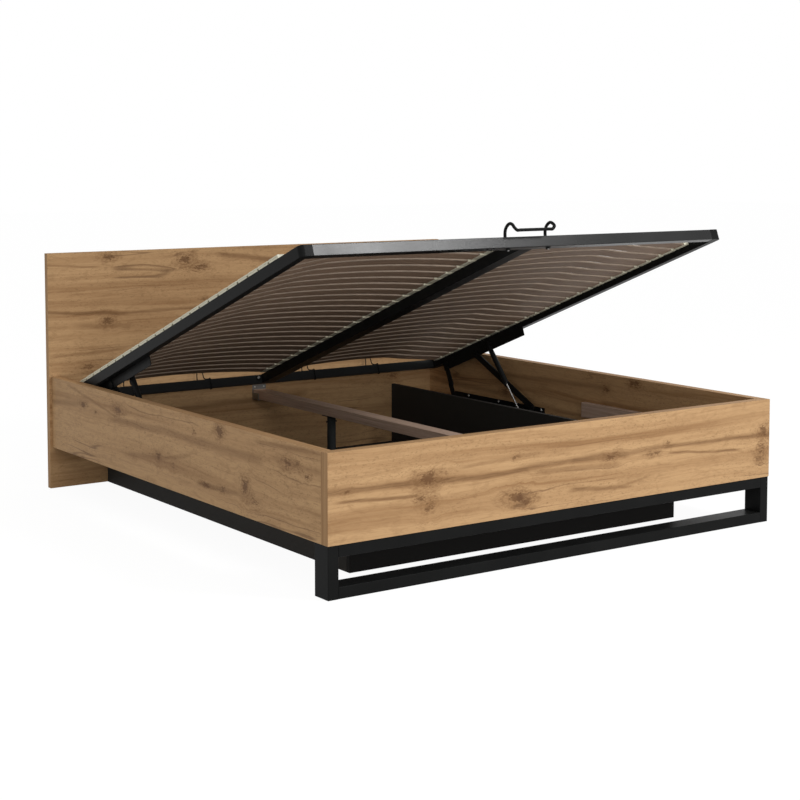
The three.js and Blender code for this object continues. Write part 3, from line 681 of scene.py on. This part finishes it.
def plated(name, colour, roughness, grain=0.08):
    """Plated steel with a fine brushed variation in its gloss."""
    f = Finish(name, Metallic=1.0, Roughness=roughness)
    brushed = f.pattern(f.coordinates(), (60.0, 900.0, 900.0))
    shade = f.mix(brushed, colour, times(colour, 0.85))
    return f.set(Base_Color=shade, Roughness=roughness + (brushed - 0.5) * grain)


# Settings


def length_setting(name, description, default, low, high):
    return FloatProperty(name=name, description=description, default=default, min=low, max=high,
                         unit="LENGTH")


def colour_setting(name, description, *default):
    return FloatVectorProperty(name=name, description=description, default=default, subtype="COLOR")


class BoardSettings(bpy.types.PropertyGroup):
    edge: length_setting("Board edge", "Rounding of the boards' edges", 0.0012, 0.0002, 0.005)
    light: colour_setting("Light oak", "Lightest colour of the oak decor", 0.515, 0.318, 0.157)
    dark: colour_setting("Dark oak", "Colour of the decor's dark bands", 0.300, 0.162, 0.070)


class SteelSettings(bpy.types.PropertyGroup):
    corner: length_setting("Tube corner", "Corner radius of the steel tubes", 0.0022, 0.0005, 0.01)
    colour: colour_setting("Powder coat", "Colour of the powder-coated steel", 0.0080, 0.0082, 0.0081)


class SlatSettings(bpy.types.PropertyGroup):
    camber: length_setting("Camber", "Rise of a slat's middle above its ends", SLAT_CAMBER, 0.0, 0.04)
    light: colour_setting("Light timber", "Lightest colour of the slats", 0.310, 0.213, 0.150)
    dark: colour_setting("Dark timber", "Darkest colour of the slats", 0.207, 0.139, 0.098)
    edge: colour_setting("Slat edge", "Colour of the slats' cut edges", 0.285, 0.225, 0.175)
    holder: colour_setting("Holder plastic", "Colour of the moulded slat holders", 0.72, 0.69, 0.54)


class StageSettings(bpy.types.PropertyGroup):
    floor_size: length_setting("Floor", "Side of the floor", 60.0, 10.0, 200.0)
    ambient: FloatProperty(name="Ambient light", description="Strength of the even light from all round",
                           default=0.55)


GROUPS = {
    "bed_boards": BoardSettings,
    "bed_steel": SteelSettings,
    "bed_slats": SlatSettings,
    "bed_stage": StageSettings,
}


def shared(name, make, *values):
    """The named material, made once."""
    return bpy.data.materials.get(name) or make(name, *values)


def black_steel():
    return shared("black powder coat", powder_coat, tuple(bpy.context.scene.bed_steel.colour))


def black_plastic():
    return shared("black plastic", moulded, (0.012, 0.012, 0.012))


# The hangers' and corner angles' zinc is a darker copy of the bright zinc: painted shade.
def zinc():
    return shared("zinc plate", plated, (0.27, 0.27, 0.26), 0.42)


def bright_zinc():
    return shared("bright zinc", plated, (0.70, 0.70, 0.68), 0.35)


# The decor of each board: the shift of its pattern, its knots and its streaks, in millimetres and
# per cent. A knot is its place along and across the grain, its half length, its half height and its
# depth of colour. A streak is the two ends of its middle line, its half height and its depth.
DECOR = {
    "headboard": ((3.1, 1.7, 0.4), (
        (-697, 915, 34, 16, 80), (-347, 893, 34, 18, 100), (-277, 857, 40, 14, 75),
        (-700, 655, 32, 20, 85), (-785, 475, 34, 16, 60), (-262, 722, 18, 10, 60),
        (300, 520, 40, 20, 80), (620, 780, 44, 22, 90), (50, 300, 34, 18, 70), (-450, 260, 36, 18, 70),
        (700, 330, 34, 18, 70),
    ), (
        (-956, 703, -825, 692, 11, 75), (-825, 691, -634, 685, 13, 85), (-634, 685, -310, 690, 11, 60),
        (-310, 690, 200, 672, 14, 55), (-915, 525, -658, 536, 10, 55), (-164, 905, 75, 879, 17, 75),
        (-944, 887, -764, 876, 7, 55), (-956, 441, -760, 452, 12, 50), (-800, 640, -620, 630, 16, 40),
        (100, 530, 700, 505, 20, 65), (-700, 255, 200, 285, 20, 60),
    )),
    "footboard": ((8.3, 4.9, 2.2), (
        (-580, 327, 44, 20, 95), (-609, 272, 30, 13, 60), (-574, 243, 30, 24, 60),
        (-234, 228, 46, 18, 100), (-186, 210, 30, 12, 70), (-233, 357, 18, 10, 60),
        (-878, 322, 22, 10, 60), (179, 318, 34, 14, 90), (373, 309, 34, 10, 70), (442, 338, 16, 8, 65),
        (914, 336, 26, 18, 80), (905, 274, 24, 22, 70), (900, 232, 30, 18, 50),
    ), (
        (-945, 327, -700, 322, 17, 75), (-700, 321, -485, 312, 19, 85), (-485, 311, -191, 314, 15, 80),
        (-191, 315, 17, 325, 18, 65), (17, 322, 240, 322, 20, 80), (240, 324, 460, 328, 14, 65),
        (440, 326, 735, 323, 13, 80), (735, 323, 945, 320, 14, 80), (-880, 291, -640, 279, 9, 85),
        (-108, 297, 190, 287, 14, 55), (480, 299, 760, 279, 8, 75), (37, 222, 233, 207, 12, 70),
        (210, 206, 320, 226, 7, 50), (-420, 350, -150, 362, 10, 40),
    )),
    "side_rail_left": ((13.7, 7.1, 5.3), (
        (706, 374, 32, 14, 75), (594, 359, 22, 10, 60), (400, 392, 36, 18, 85), (-193, 393, 14, 12, 60),
        (-372, 422, 26, 20, 95), (74, 265, 18, 18, 70), (-37, 258, 20, 16, 60), (-274, 226, 28, 10, 75),
        (-393, 230, 34, 14, 60), (-540, 262, 26, 28, 85), (-610, 221, 36, 14, 60),
        (-803, 380, 30, 14, 85), (-864, 385, 14, 10, 60), (-916, 358, 22, 10, 70),
    ), (
        (980, 352, 700, 378, 16, 50), (825, 427, 420, 366, 8, 45), (420, 352, -32, 366, 18, 55),
        (-32, 366, -620, 360, 22, 55), (285, 243, 60, 262, 16, 50), (60, 262, -130, 300, 12, 45),
        (-242, 223, -470, 232, 14, 60), (-640, 420, -979, 436, 12, 60), (-740, 384, -979, 378, 12, 40),
    )),
    "side_rail_right": ((17.9, 2.3, 6.1), (
        (-361, 430, 34, 16, 85), (-193, 388, 24, 14, 60), (450, 300, 40, 18, 70),
        (-750, 290, 40, 18, 70),
    ), (
        (-980, 340, -200, 330, 16, 60), (-200, 395, 500, 370, 18, 55), (-700, 250, 100, 262, 14, 50),
        (300, 285, 980, 300, 18, 60),
    )),
}


def marks(rows):
    """Knots or streaks in metres, with their depth of colour as a share."""
    return [(*(length / 1000 for length in lengths), depth / 100) for *lengths, depth in rows]


# Operators


class BED_OT_boards(bpy.types.Operator):
    """Headboard, footboard and side rails in oak decor"""

    bl_idname = "bed.boards"
    bl_label = "Boards"

    def execute(self, context):
        settings = context.scene.bed_boards
        light, dark = tuple(settings.light), tuple(settings.dark)
        along_x = edge_band("oak band along x", "xyz", light, dark)
        along_y = edge_band("oak band along y", "yxz", light, dark)
        upright = edge_band("oak band upright", "zxy", light, dark)
        for board, (origin, knots, streaks) in DECOR.items():
            rail = board.startswith("side")
            axes = "yzx" if rail else "xzy"
            face = oak_decor(f"oak {board}", axes, origin, marks(knots), marks(streaks), light, dark)
            piece = block(f"{board}_board", *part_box(board), settings.edge, 3)
            finish(piece, "root", "oak", face, along_y if rail else along_x, upright, nodes=[board])
            paint(piece, 1, lambda centre, normal: abs(normal.z) > 0.8)
            if not rail:
                paint(piece, 2, lambda centre, normal: abs(normal.x) > 0.8)
        return {"FINISHED"}


class BED_OT_leg_frame(bpy.types.Operator):
    """Welded steel leg frame under the footboard"""

    bl_idname = "bed.leg_frame"
    bl_label = "Leg frame"

    def execute(self, context):
        corner = context.scene.bed_steel.corner
        for part, axis in (("upright_left", 2), ("upright_right", 2), ("top_bar", 0), ("bottom_bar", 0)):
            node = f"leg_frame_{part}"
            piece = tube(f"{node}_tube", *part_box(node), axis, corner)
            finish(piece, "root", "black_steel", black_steel(), nodes=[node])
        return {"FINISHED"}


class BED_OT_container(bpy.types.Operator):
    """Black storage container with its floor on battens"""

    bl_idname = "bed.container"
    bl_label = "Storage container"

    def execute(self, context):
        # The front, sides and floor are one black laminate in two copies. The copy on the sides and floor
        # is lighter, painted light for their shaded inside. The front's copy is darker, painted shade.
        board = black_laminate("black laminate", (0.031, 0.029, 0.026))
        front = black_laminate("black front laminate", (0.0105, 0.0100, 0.0095))
        dress("container_front", 0.0008, "root", "black_board", front)
        for node in ("container_side_left", "container_side_right", "container_floor"):
            piece = block(f"{node}_board", *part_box(node), 0.0008)
            finish(piece, "root", "black_board", board, nodes=[node])
        rough = timber("floor batten", "yxz", (0.22, 0.16, 0.12), (0.13, 0.09, 0.065))
        dress("container_floor_frame", 0.0012, "root", "grey_beech", rough)
        return {"FINISHED"}


class BED_OT_supports(bpy.types.Operator):
    """Battens, centre beam, its hangers and its leg"""

    bl_idname = "bed.supports"
    bl_label = "Supports"

    def execute(self, context):
        beam = timber("beam timber", "yxz", (0.54, 0.390, 0.300), (0.325, 0.222, 0.165))
        for node in ("batten_left", "batten_right", "centre_beam"):
            piece = block(f"{node}_timber", *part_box(node), 0.0025, 3)
            finish(piece, "root", "grey_beech", beam, nodes=[node])
        for node in ("beam_hanger_foot", "beam_hanger_head"):
            dress(node, 0.0005, "root", "zinc", zinc())
        for node in (f"corner_bracket_{end}_{side}" for end in ("foot", "head") for side, _ in SIDES):
            dress(node, 0.0005, "root", "zinc", zinc())
        self.centre_leg()
        return {"FINISHED"}

    def centre_leg(self):
        """The leg's tube with its weld and top plate, its foot and the pin through it."""
        low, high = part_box("centre_leg_tube")
        x, y = (low.x + high.x) / 2, (low.y + high.y) / 2
        radius, plate, weld, ease = 0.0175, 0.003, 0.003, 0.0006
        under = high.z - plate
        shaft = turned("centre_leg_shaft", [
            (radius - ease, low.z), (radius, low.z + ease), (radius, under - weld),
            (radius + 0.002, under - 0.001), (radius + weld, under),
        ], (x, y, 0), (0, 0, 1), 40)
        top = block("centre_leg_plate", (low.x, low.y, under), high, 0.0005)
        # The leg's coat is a lighter copy of the black powder coat: painted light on the leg, which stands
        # in the shade under the bed.
        coat = powder_coat("leg coat", (0.024, 0.026, 0.026), 0.38, 0.12)
        steel = joined("centre_leg_steel", [shaft, top])
        finish(steel, "root", "black_steel", coat, nodes=["centre_leg_tube"])
        low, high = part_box("centre_leg_foot")
        outer = (high.x - low.x) / 2
        foot = turned("centre_leg_glide", [
            (outer - 0.001, low.z), (outer, low.z + 0.001), (outer, low.z + 0.0025),
            (radius + 0.001, high.z - 0.0005), (radius, high.z),
        ], (x, y, 0), (0, 0, 1), 40)
        finish(foot, "root", "black_plastic", black_plastic(), nodes=["centre_leg_foot"])
        low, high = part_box("centre_leg_pin")
        thick = (high.z - low.z) / 2
        pin = turned("centre_leg_cross_pin", [
            (thick - ease, low.x), (thick, low.x + ease), (thick, high.x - ease), (thick - ease, high.x),
        ], (0, y, (low.z + high.z) / 2), (1, 0, 0), 20)
        finish(pin, "root", "black_steel", black_steel(), nodes=["centre_leg_pin"])


class BED_OT_lift(bpy.types.Operator):
    """Lift mechanism: base brackets, links, arms, lift plates, rivets and gas springs"""

    bl_idname = "bed.lift"
    bl_label = "Lift mechanism"

    def execute(self, context):
        steel = black_steel()
        chrome = plated("chrome rod", (0.85, 0.86, 0.87), 0.12, 0.04)
        for side, _ in SIDES:
            link, arm = f"rear_link_{side}", f"front_arm_{side}"
            rod, cylinder = f"gas_rod_{side}", f"gas_cylinder_{side}"
            for node, ease, body in (
                (f"lift_base_{side}", 0.0004, "root"), (link, 0.0004, link), (arm, 0.0004, arm),
                (f"lift_plate_{side}", 0.0004, "slat_frame"), (f"rear_base_pin_{side}", 0.0003, "root"),
                (f"front_base_pin_{side}", 0.0003, "root"), (f"rear_link_pin_{side}", 0.0003, link),
                (f"front_arm_pin_{side}", 0.0003, arm),
            ):
                dress(node, ease, body, "black_steel", steel)
            dress(rod, 0, rod, "chrome", chrome, smooth=40)
            dress(cylinder, 0, cylinder, "black_steel", steel, smooth=40)
        return {"FINISHED"}


class BED_OT_slat_tubes(bpy.types.Operator):
    """Welded tubes of the slat frame"""

    bl_idname = "bed.slat_tubes"
    bl_label = "Slat frame tubes"

    def execute(self, context):
        steel = black_steel()
        corner = context.scene.bed_steel.corner
        for side, _ in SIDES:
            node = f"side_tube_{side}"
            finish(refined(node, corner, 3), "slat_frame", "black_steel", steel, nodes=[node])
        colour = tuple(context.scene.bed_steel.colour)
        satin = powder_coat("satin black coat", colour, 0.28, 0.24)
        # The crossbar's coat is a lighter copy of the black powder coat: painted light on the crossbar.
        pale = powder_coat("crossbar coat", times(colour, 2.2))
        for node, axis, coat in (
            ("foot_tube", 0, satin), ("head_crossbar", 0, pale), ("centre_bar", 1, steel),
        ):
            lay(tube(f"{node}_steel", *flat_box(node), axis, corner), "black_steel", coat, nodes=[node])
        return {"FINISHED"}


class BED_OT_slats(bpy.types.Operator):
    """Two columns of cambered slats in their holders"""

    bl_idname = "bed.slats"
    bl_label = "Slats"

    # Across the frame: the inner wall of a side tube, the middle of the strip under the holders on
    # it, and the corners of the lip along those holders, each with its height
    TUBE_INNER = 0.872
    STRIP_MIDDLE = 0.886
    LIP_LOW, LIP_HIGH = (0.876, 0.0070), (0.9005, 0.0118)

    def execute(self, context):
        settings = context.scene.bed_slats
        low, high = flat_box("slats_right")
        row = high.y - low.y - SLAT_WIDTH
        self.count = round(row / SLAT_PITCH) + 1
        self.pitch = row / (self.count - 1)
        light, dark, edge = tuple(settings.light), tuple(settings.dark), tuple(settings.edge)
        wood = timber("slat timber", "xyz", light, dark, OPEN_TILT, self.pitch)
        pale = ply_edge("slat edge", edge, times(edge, 0.72), OPEN_TILT)
        across = SLAT_FRAME.to_3x3() @ Vector((0, 1, 0))
        for side, sign in SIDES:
            slat = self.slat(side, sign, low, high, settings)
            repeat(slat, self.count, self.pitch)
            lay(slat, "grey_beech", wood, pale, nodes=[f"slats_{side}"])
            paint(slat, 1, lambda centre, normal: abs(normal @ across) > 0.85)
        self.cream = moulded("cream plastic", tuple(settings.holder))
        self.inner_holders()
        for side, sign in SIDES:
            self.outer_holders(side, sign)
        return {"FINISHED"}

    def slat(self, side, sign, low, high, settings):
        """One slat: bowed between its holders, and stepped down towards its outer end."""
        inner = flat_box("slat_holders_inner")[1].x
        outer = flat_box("slat_holders_right")[0].x
        start, end = SLAT_STEPS[side]
        middle, half = (inner + outer) / 2, (outer - inner) / 2
        places = [low.x, inner]
        for first, last, parts in ((inner, start, 12), (start, end, 6), (end, outer, 4)):
            places += [first + (last - first) * i / parts for i in range(1, parts + 1)]
        stations = []
        for x in (*places, high.x):
            share = min(1, max(0, (x - start) / (end - start)))
            rise = settings.camber * max(0, 1 - ((x - middle) / half) ** 2)
            late = min(1, max(0, (x - end) / (outer - end)))
            ramp = 0.75 * share + 0.25 * share * share * (3 - 2 * share)
            drop = 0.66 * ramp + 0.34 * late
            stations.append((sign * x, rise - SLAT_STEP_DOWN * drop))
        bottom = flat_box("slat_holders_inner")[0].z + HOLDER_WALL + FIT
        piece = swept(f"slats_{side}_bent", low.y, bottom, SLAT_WIDTH, SLAT_THICKNESS, stations)
        select_edges(piece, lambda at, along: abs(along.x) > 0.8)
        bevel_selected(0.0016)
        return piece

    def sleeve(self, name, low, high, open_ends, depth):
        """A moulded sleeve for slat ends, open at one or both of its ends along X."""
        low, high = Vector(low), Vector(high)
        piece = block(name, low, high, 0)
        for end in open_ends:
            select_faces(piece, lambda centre, normal: normal.x * end > 0.9)
            self.recess(HOLDER_WALL, -end * depth)
        select_edges(piece, lambda middle, along: self.on_outside(middle, low, high))
        bevel_selected(0.0009)
        return piece

    @staticmethod
    def recess(wall, move):
        """Sinks the selected faces along X, inside a wall."""
        bpy.ops.mesh.inset(thickness=wall)
        extrude(move, 0, 0)
        leave_edit()

    @staticmethod
    def on_outside(middle, low, high):
        walls = [min(middle[i] - low[i], high[i] - middle[i]) < NEAR for i in range(3)]
        return sum(walls) >= 2

    def row(self, node, piece, low, middle, bottom, *more):
        """Makes a row of one holder, with the thin base strip that the row shares."""
        repeat(piece, self.count, self.pitch)
        half, thick = 0.006, 0.0012
        start = low.y + HOLDER_LENGTH / 2
        first = (middle - half, start, bottom)
        last = (middle + half, start + (self.count - 1) * self.pitch, bottom + thick)
        strip = block(f"{node}_strip", first, last, 0.0003)
        lay(joined(f"{node}_row", [piece, strip, *more]), "holder_plastic", self.cream, nodes=[node])

    def inner_holders(self):
        node = "slat_holders_inner"
        low, high = flat_box(node)
        depth = high.x - HOLDER_WALL / 2
        caps = self.sleeve(f"{node}_caps", low, (high.x, low.y + HOLDER_LENGTH, high.z), (-1, 1), depth)
        self.row(node, caps, low, 0, low.z)

    def outer_holders(self, side, sign):
        """Holders with a cap on the side tube and a sleeve that hangs down inside it."""
        node = f"slat_holders_{side}"
        low, high = flat_box("slat_holders_right")
        near, far = low.y, low.y + HOLDER_LENGTH
        outside = self.TUBE_INNER - FIT
        inside = outside - HOLDER_WALL
        sleeve_top = high.z - SLAT_STEP_DOWN

        def part(name, x1, x2, bottom, top):
            """Name and corners of a part of the first holder, on this side of the bed."""
            x1, x2 = sorted((sign * x1, sign * x2))
            return f"{node}_{name}", (x1, near, bottom), (x2, far, top)

        sleeve = self.sleeve(*part("sleeve", low.x, outside, low.z, sleeve_top), (-sign,), inside - low.x)
        web = block(*part("web", inside, outside, sleeve_top - 0.001, FIT + 0.002), 0.0003)
        cap = block(*part("cap", inside, high.x, FIT, high.z))
        end = sign * high.x
        select_faces(cap, lambda centre, normal: normal.x * sign > 0.9 and abs(centre.x - end) < 1e-4)
        self.recess(0.0032, -sign * 0.0016)
        caps = joined(f"{node}_caps", [sleeve, web, cap])
        (x1, z1), (x2, z2) = self.LIP_LOW, self.LIP_HIGH
        x1, x2 = sorted((sign * x1, sign * x2))
        last = far - 0.01 + (self.count - 1) * self.pitch
        lip = block(f"{node}_lip", (x1, near + 0.01, z1), (x2, last, z2), 0.0006)
        self.row(node, caps, low, sign * self.STRIP_MIDDLE, FIT, lip)


class BED_OT_retainers(bpy.types.Operator):
    """Bent wires that hold the mattress"""

    bl_idname = "bed.retainers"
    bl_label = "Mattress retainers"

    # The foot retainer's wire: half its width, its place along the frame, how far it reaches out and
    # how high its bar lies. Then the bends of its arch, each with its way out and its height
    HALF_WIDTH, FOOT_PLACE, REACH, BAR_HEIGHT, FOOT_WIRE = 0.087, 0.015, 0.056, 0.010, 0.011
    ARCH = ((0, 0.006), (0.009, 0.026), (0.023, 0.036), (0.040, 0.0385), (0.052, 0.030), (0.057, 0.020))

    # The head retainers' places across the crossbar, and the bends of one, each with its way across
    # from there and its height
    PLACES = (-0.607, -0.274, 0.236, 0.569)
    HEAD_WIRE = 0.0045
    HAIRPIN = (
        (-0.0180, 0.010), (-0.0200, 0.030), (-0.0230, 0.060), (-0.0260, 0.0715), (-0.0325, 0.075),
        (-0.0390, 0.0715), (-0.0420, 0.060), (-0.051, FIT + HEAD_WIRE / 2),
    )

    def execute(self, context):
        bar_y = self.FOOT_PLACE - self.REACH
        end = self.HALF_WIDTH - 0.024
        route = [*self.arch(-1), (-end, bar_y, self.BAR_HEIGHT), (end, bar_y, self.BAR_HEIGHT),
                 *reversed(self.arch(1))]
        self.bend("foot_retainer", route, self.FOOT_WIRE, 16)
        low, high = flat_box("head_crossbar")
        clear = FIT + self.HEAD_WIRE / 2
        front, middle = low.y - clear, (low.y + high.y) / 2
        stand = high.y - 0.004
        for number, x in enumerate(self.PLACES, 1):
            clip = ((x, middle, low.z - clear), (x, front, low.z - clear), (x, front, low.z / 2),
                    (x, front, clear), (x, middle, clear), (x - 0.014, stand - 0.002, clear + 0.002))
            route = [*clip, *((x + across, stand, height) for across, height in self.HAIRPIN)]
            self.bend(f"head_retainer_{number}", route, self.HEAD_WIRE)
        return {"FINISHED"}

    def arch(self, sign):
        """Half of the foot retainer, from its nut to its bar."""
        x, y = sign * self.HALF_WIDTH, self.FOOT_PLACE
        return [
            (x, y, FIT), *((x, y - forward, rise) for forward, rise in self.ARCH),
            (sign * (self.HALF_WIDTH - self.FOOT_WIRE), y - self.REACH, self.BAR_HEIGHT),
        ]

    def bend(self, node, route, diameter, sides=12):
        piece = wire(f"{node}_wire", route, diameter, sides)
        lay(piece, "black_steel", black_steel(), nodes=[node], smooth=60)


class BED_OT_fasteners(bpy.types.Operator):
    """Screws, bolts and nuts, and the plugs in the side tubes' head ends"""

    bl_idname = "bed.fasteners"
    bl_label = "Fasteners"

    # Across the bed: the outer face of the corner angles, and the faces of the base brackets and the
    # lift plates that carry fasteners. Then the wall of the angles and of the beam hangers
    RAIL_FACE, BASE_FACE, PLATE_FACE = 0.9067, 0.9037, 0.8687
    WALL = 0.003

    def execute(self, context):
        bright, steel = bright_zinc(), black_steel()
        for side, sign in SIDES:
            inside = (-sign, 0, 0)
            finish(joined(f"lift_base_{side}_screws", [
                screw("base_screw", (sign * self.BASE_FACE, y, 0.2530), inside, 0.0055)
                for y in (0.2022, 0.4914, 0.7057)]), "root", "zinc", bright)
            lay(joined(f"lift_plate_{side}_bolts", [
                hexagon("plate_bolt", (sign * self.PLATE_FACE, along, -0.025), inside, 0.0065, 0.0035)
                for along in (1.225, 1.480, 1.690)]), "black_steel", steel)
            x1, x2 = sorted((sign * 0.874, sign * 0.900))
            plug = block(f"side_tube_{side}_plug", (x1, 1.8881, -0.036), (x2, 1.8901, -0.002), 0.0009, 3)
            lay(plug, "black_plastic", black_plastic())
            self.bracket_screws(side, sign, bright)
        self.crossbar_bolts(bright, steel)
        self.hanger_screws(bright)
        self.retainer_nuts(bright, steel)
        return {"FINISHED"}

    def retainer_nuts(self, bright, steel):
        """A nut under the foot tube on each end of the foot retainer, with the end of its thread."""
        down, half, along, under, height = (0, 0, -1), 0.087, 0.015, -0.0383, 0.005
        tip = [(0.0032, 0), (0.0032, 0.0014), (0.0024, 0.0020)]
        nuts, ends = [], []
        for x in (-half, half):
            nuts.append(hexagon("nut", (x, along, under), down, 0.0085, height))
            ends.append(turned("end", tip, (x, along, under - height), down, 20))
        lay(joined("foot_retainer_nuts", nuts), "black_steel", steel)
        lay(joined("foot_retainer_thread_ends", ends), "zinc", bright)

    def bracket_screws(self, side, sign, bright):
        """Two screws in each corner angle: one into the rail and one into the board."""
        away = 0.025
        for end, inward in (("foot", 1), ("head", -1)):
            low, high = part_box(f"corner_bracket_{end}_{side}")
            wall = low.y if inward > 0 else high.y
            middle = (low.z + high.z) / 2
            rail_x, board_x = self.RAIL_FACE - self.WALL, self.RAIL_FACE - away
            screws = [
                screw("rail_screw", (sign * rail_x, wall + inward * away, middle), (-sign, 0, 0)),
                screw("board_screw", (sign * board_x, wall + inward * self.WALL, middle), (0, inward, 0)),
            ]
            finish(joined(f"corner_bracket_{end}_{side}_screws", screws), "root", "zinc", bright)

    def crossbar_bolts(self, bright, steel):
        """A bolt on a round washer each side of the centre bar, on the head crossbar's front face."""
        front = flat_box("head_crossbar")[0].y
        across, height, washer = 0.044, -0.0125, 0.0018
        profile = [(0.0105, 0), (0.0110, 0.0004), (0.0105, washer)]
        washers, bolts = [], []
        for x in (-across, across):
            washers.append(turned("washer", profile, (x, front, height), (0, -1, 0), 32))
            bolts.append(hexagon("bolt", (x, front - washer, height), (0, -1, 0), 0.0062, 0.004))
        lay(joined("crossbar_washers", washers), "black_steel", steel)
        lay(joined("crossbar_bolts", bolts), "zinc", bright)

    def hanger_screws(self, bright):
        for end, inward in (("foot", 1), ("head", -1)):
            low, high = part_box(f"beam_hanger_{end}")
            face = (low.y if inward > 0 else high.y) + inward * self.WALL
            screws = [screw("hanger_screw", (x, face, high.z - 0.009), (0, inward, 0), 0.0040)
                      for x in (-0.022, 0.022)]
            finish(joined(f"beam_hanger_{end}_screws", screws), "root", "zinc", bright)


class BED_OT_stage(bpy.types.Operator):
    """Pale floor, soft studio light and the camera"""

    bl_idname = "bed.stage"
    bl_label = "Stage"

    # Lamps: place, the point that they look at, size and power
    LAMPS = {
        "key lamp": ((2.05, -4.20, 3.62), (0, 0, 0.6), 1.25, 134),
        "front lamp": ((-1.8, -6.0, 1.7), (0, 0, 0.4), 3.0, 74),
    }

    # Camera: place, heading and downward tilt in degrees, lens and vertical shift
    EYE = (-3.53939, -5.12953, 1.33342)
    HEADING, DROP = 34.88714, 4.39672
    LENS, SHIFT = 74.5026, -0.15

    # The floor's colour, the strength of its white where it is seen directly, and that white's share
    FLOOR, GLOW, SHARE = (0.80, 0.80, 0.80, 1), 1.07, 0.88

    def execute(self, context):
        settings = context.scene.bed_stage
        self.floor(settings.floor_size)
        self.sky(context.scene, settings.ambient)
        for name, values in self.LAMPS.items():
            self.lamp(name, *values)
        self.camera(context.scene)
        context.scene.view_settings.view_transform = "Standard"
        return {"FINISHED"}

    def seen_directly(self, nodes):
        """1 for camera, mirror and transmission rays."""
        path = nodes.tree.nodes.new("ShaderNodeLightPath")
        camera, mirror, clear = (Value(nodes, path.outputs[ray])
                                 for ray in ("Is Camera Ray", "Is Glossy Ray", "Is Transmission Ray"))
        return nodes.maths("MAXIMUM", nodes.maths("MAXIMUM", camera, mirror), clear)

    def floor(self, size):
        """A matt floor that is white where it is seen directly, apart from a faint shadow."""
        deselect()
        bpy.ops.mesh.primitive_plane_add(size=size, location=(0, 0, -0.0005))
        plane = bpy.context.object
        plane.name = "floor"
        f = Finish("pale floor")
        f.tree.nodes.remove(f.tree.nodes["Principled BSDF"])
        matt = f.node("ShaderNodeBsdfDiffuse", {}, {"Color": self.FLOOR})
        glow = f.node("ShaderNodeEmission", {}, {"Strength": self.GLOW})
        mixed = f.node("ShaderNodeMixShader", {}, (self.seen_directly(f) * self.SHARE, matt, glow))
        f.feed(f.tree.nodes["Material Output"].inputs["Surface"], mixed)
        plane.data.materials.append(f.material)

    def sky(self, scene, ambient):
        """Even light from all round, and plain white where the sky is seen directly."""
        world = bpy.data.worlds.new("studio")
        world.use_nodes = True
        scene.world = world
        sky = Nodes(world.node_tree)
        white = (1, 1, 1, 1)
        even = sky.tree.nodes["Background"]
        sky.feed(even.inputs["Color"], white)
        sky.feed(even.inputs["Strength"], ambient)
        seen = sky.node("ShaderNodeBackground", {}, {"Color": white})
        values = self.seen_directly(sky), Value(sky, even.outputs[0]), seen
        mixed = sky.node("ShaderNodeMixShader", {}, values)
        sky.feed(sky.tree.nodes["World Output"].inputs["Surface"], mixed)

    def lamp(self, name, place, target, size, power):
        deselect()
        bpy.ops.object.light_add(type="AREA", location=place)
        lamp = bpy.context.object
        lamp.name = name
        lamp.data.shape = "DISK"
        lamp.data.size = size
        lamp.data.energy = power
        lamp.rotation_euler = (Vector(target) - Vector(place)).to_track_quat("-Z", "Y").to_euler()

    def camera(self, scene):
        deselect()
        turn = (math.pi / 2 - math.radians(self.DROP), 0, -math.radians(self.HEADING))
        bpy.ops.object.camera_add(location=self.EYE, rotation=turn)
        camera = bpy.context.object
        camera.data.lens = self.LENS
        camera.data.shift_y = self.SHIFT
        camera.data.dof.use_dof = False
        scene.camera = camera


PIECE_OPERATORS = (
    BED_OT_boards, BED_OT_leg_frame, BED_OT_container, BED_OT_supports, BED_OT_lift,
    BED_OT_slat_tubes, BED_OT_slats, BED_OT_retainers, BED_OT_fasteners, BED_OT_stage,
)


class BED_PT_panel(bpy.types.Panel):
    """Lists the bed's settings and the steps that build it"""

    bl_idname = "BED_PT_panel"
    bl_label = "Ottoman bed"
    bl_space_type = "VIEW_3D"
    bl_region_type = "UI"
    bl_category = "Ottoman bed"

    def draw(self, context):
        for group, settings in GROUPS.items():
            box = self.layout.box()
            for name in settings.__annotations__:
                box.prop(getattr(context.scene, group), name)
        for operator in PIECE_OPERATORS:
            self.layout.operator(operator.bl_idname)


CLASSES = (*GROUPS.values(), *PIECE_OPERATORS, BED_PT_panel)


def register():
    for made in CLASSES:
        bpy.utils.register_class(made)
    for name, settings in GROUPS.items():
        setattr(bpy.types.Scene, name, PointerProperty(type=settings))


def unregister():
    for name in GROUPS:
        delattr(bpy.types.Scene, name)
    for made in reversed(CLASSES):
        bpy.utils.unregister_class(made)


def main():
    register()
    for operator in PIECE_OPERATORS:
        group, name = operator.bl_idname.split(".")
        getattr(getattr(bpy.ops, group), name)()


if __name__ == "__main__":
    main()
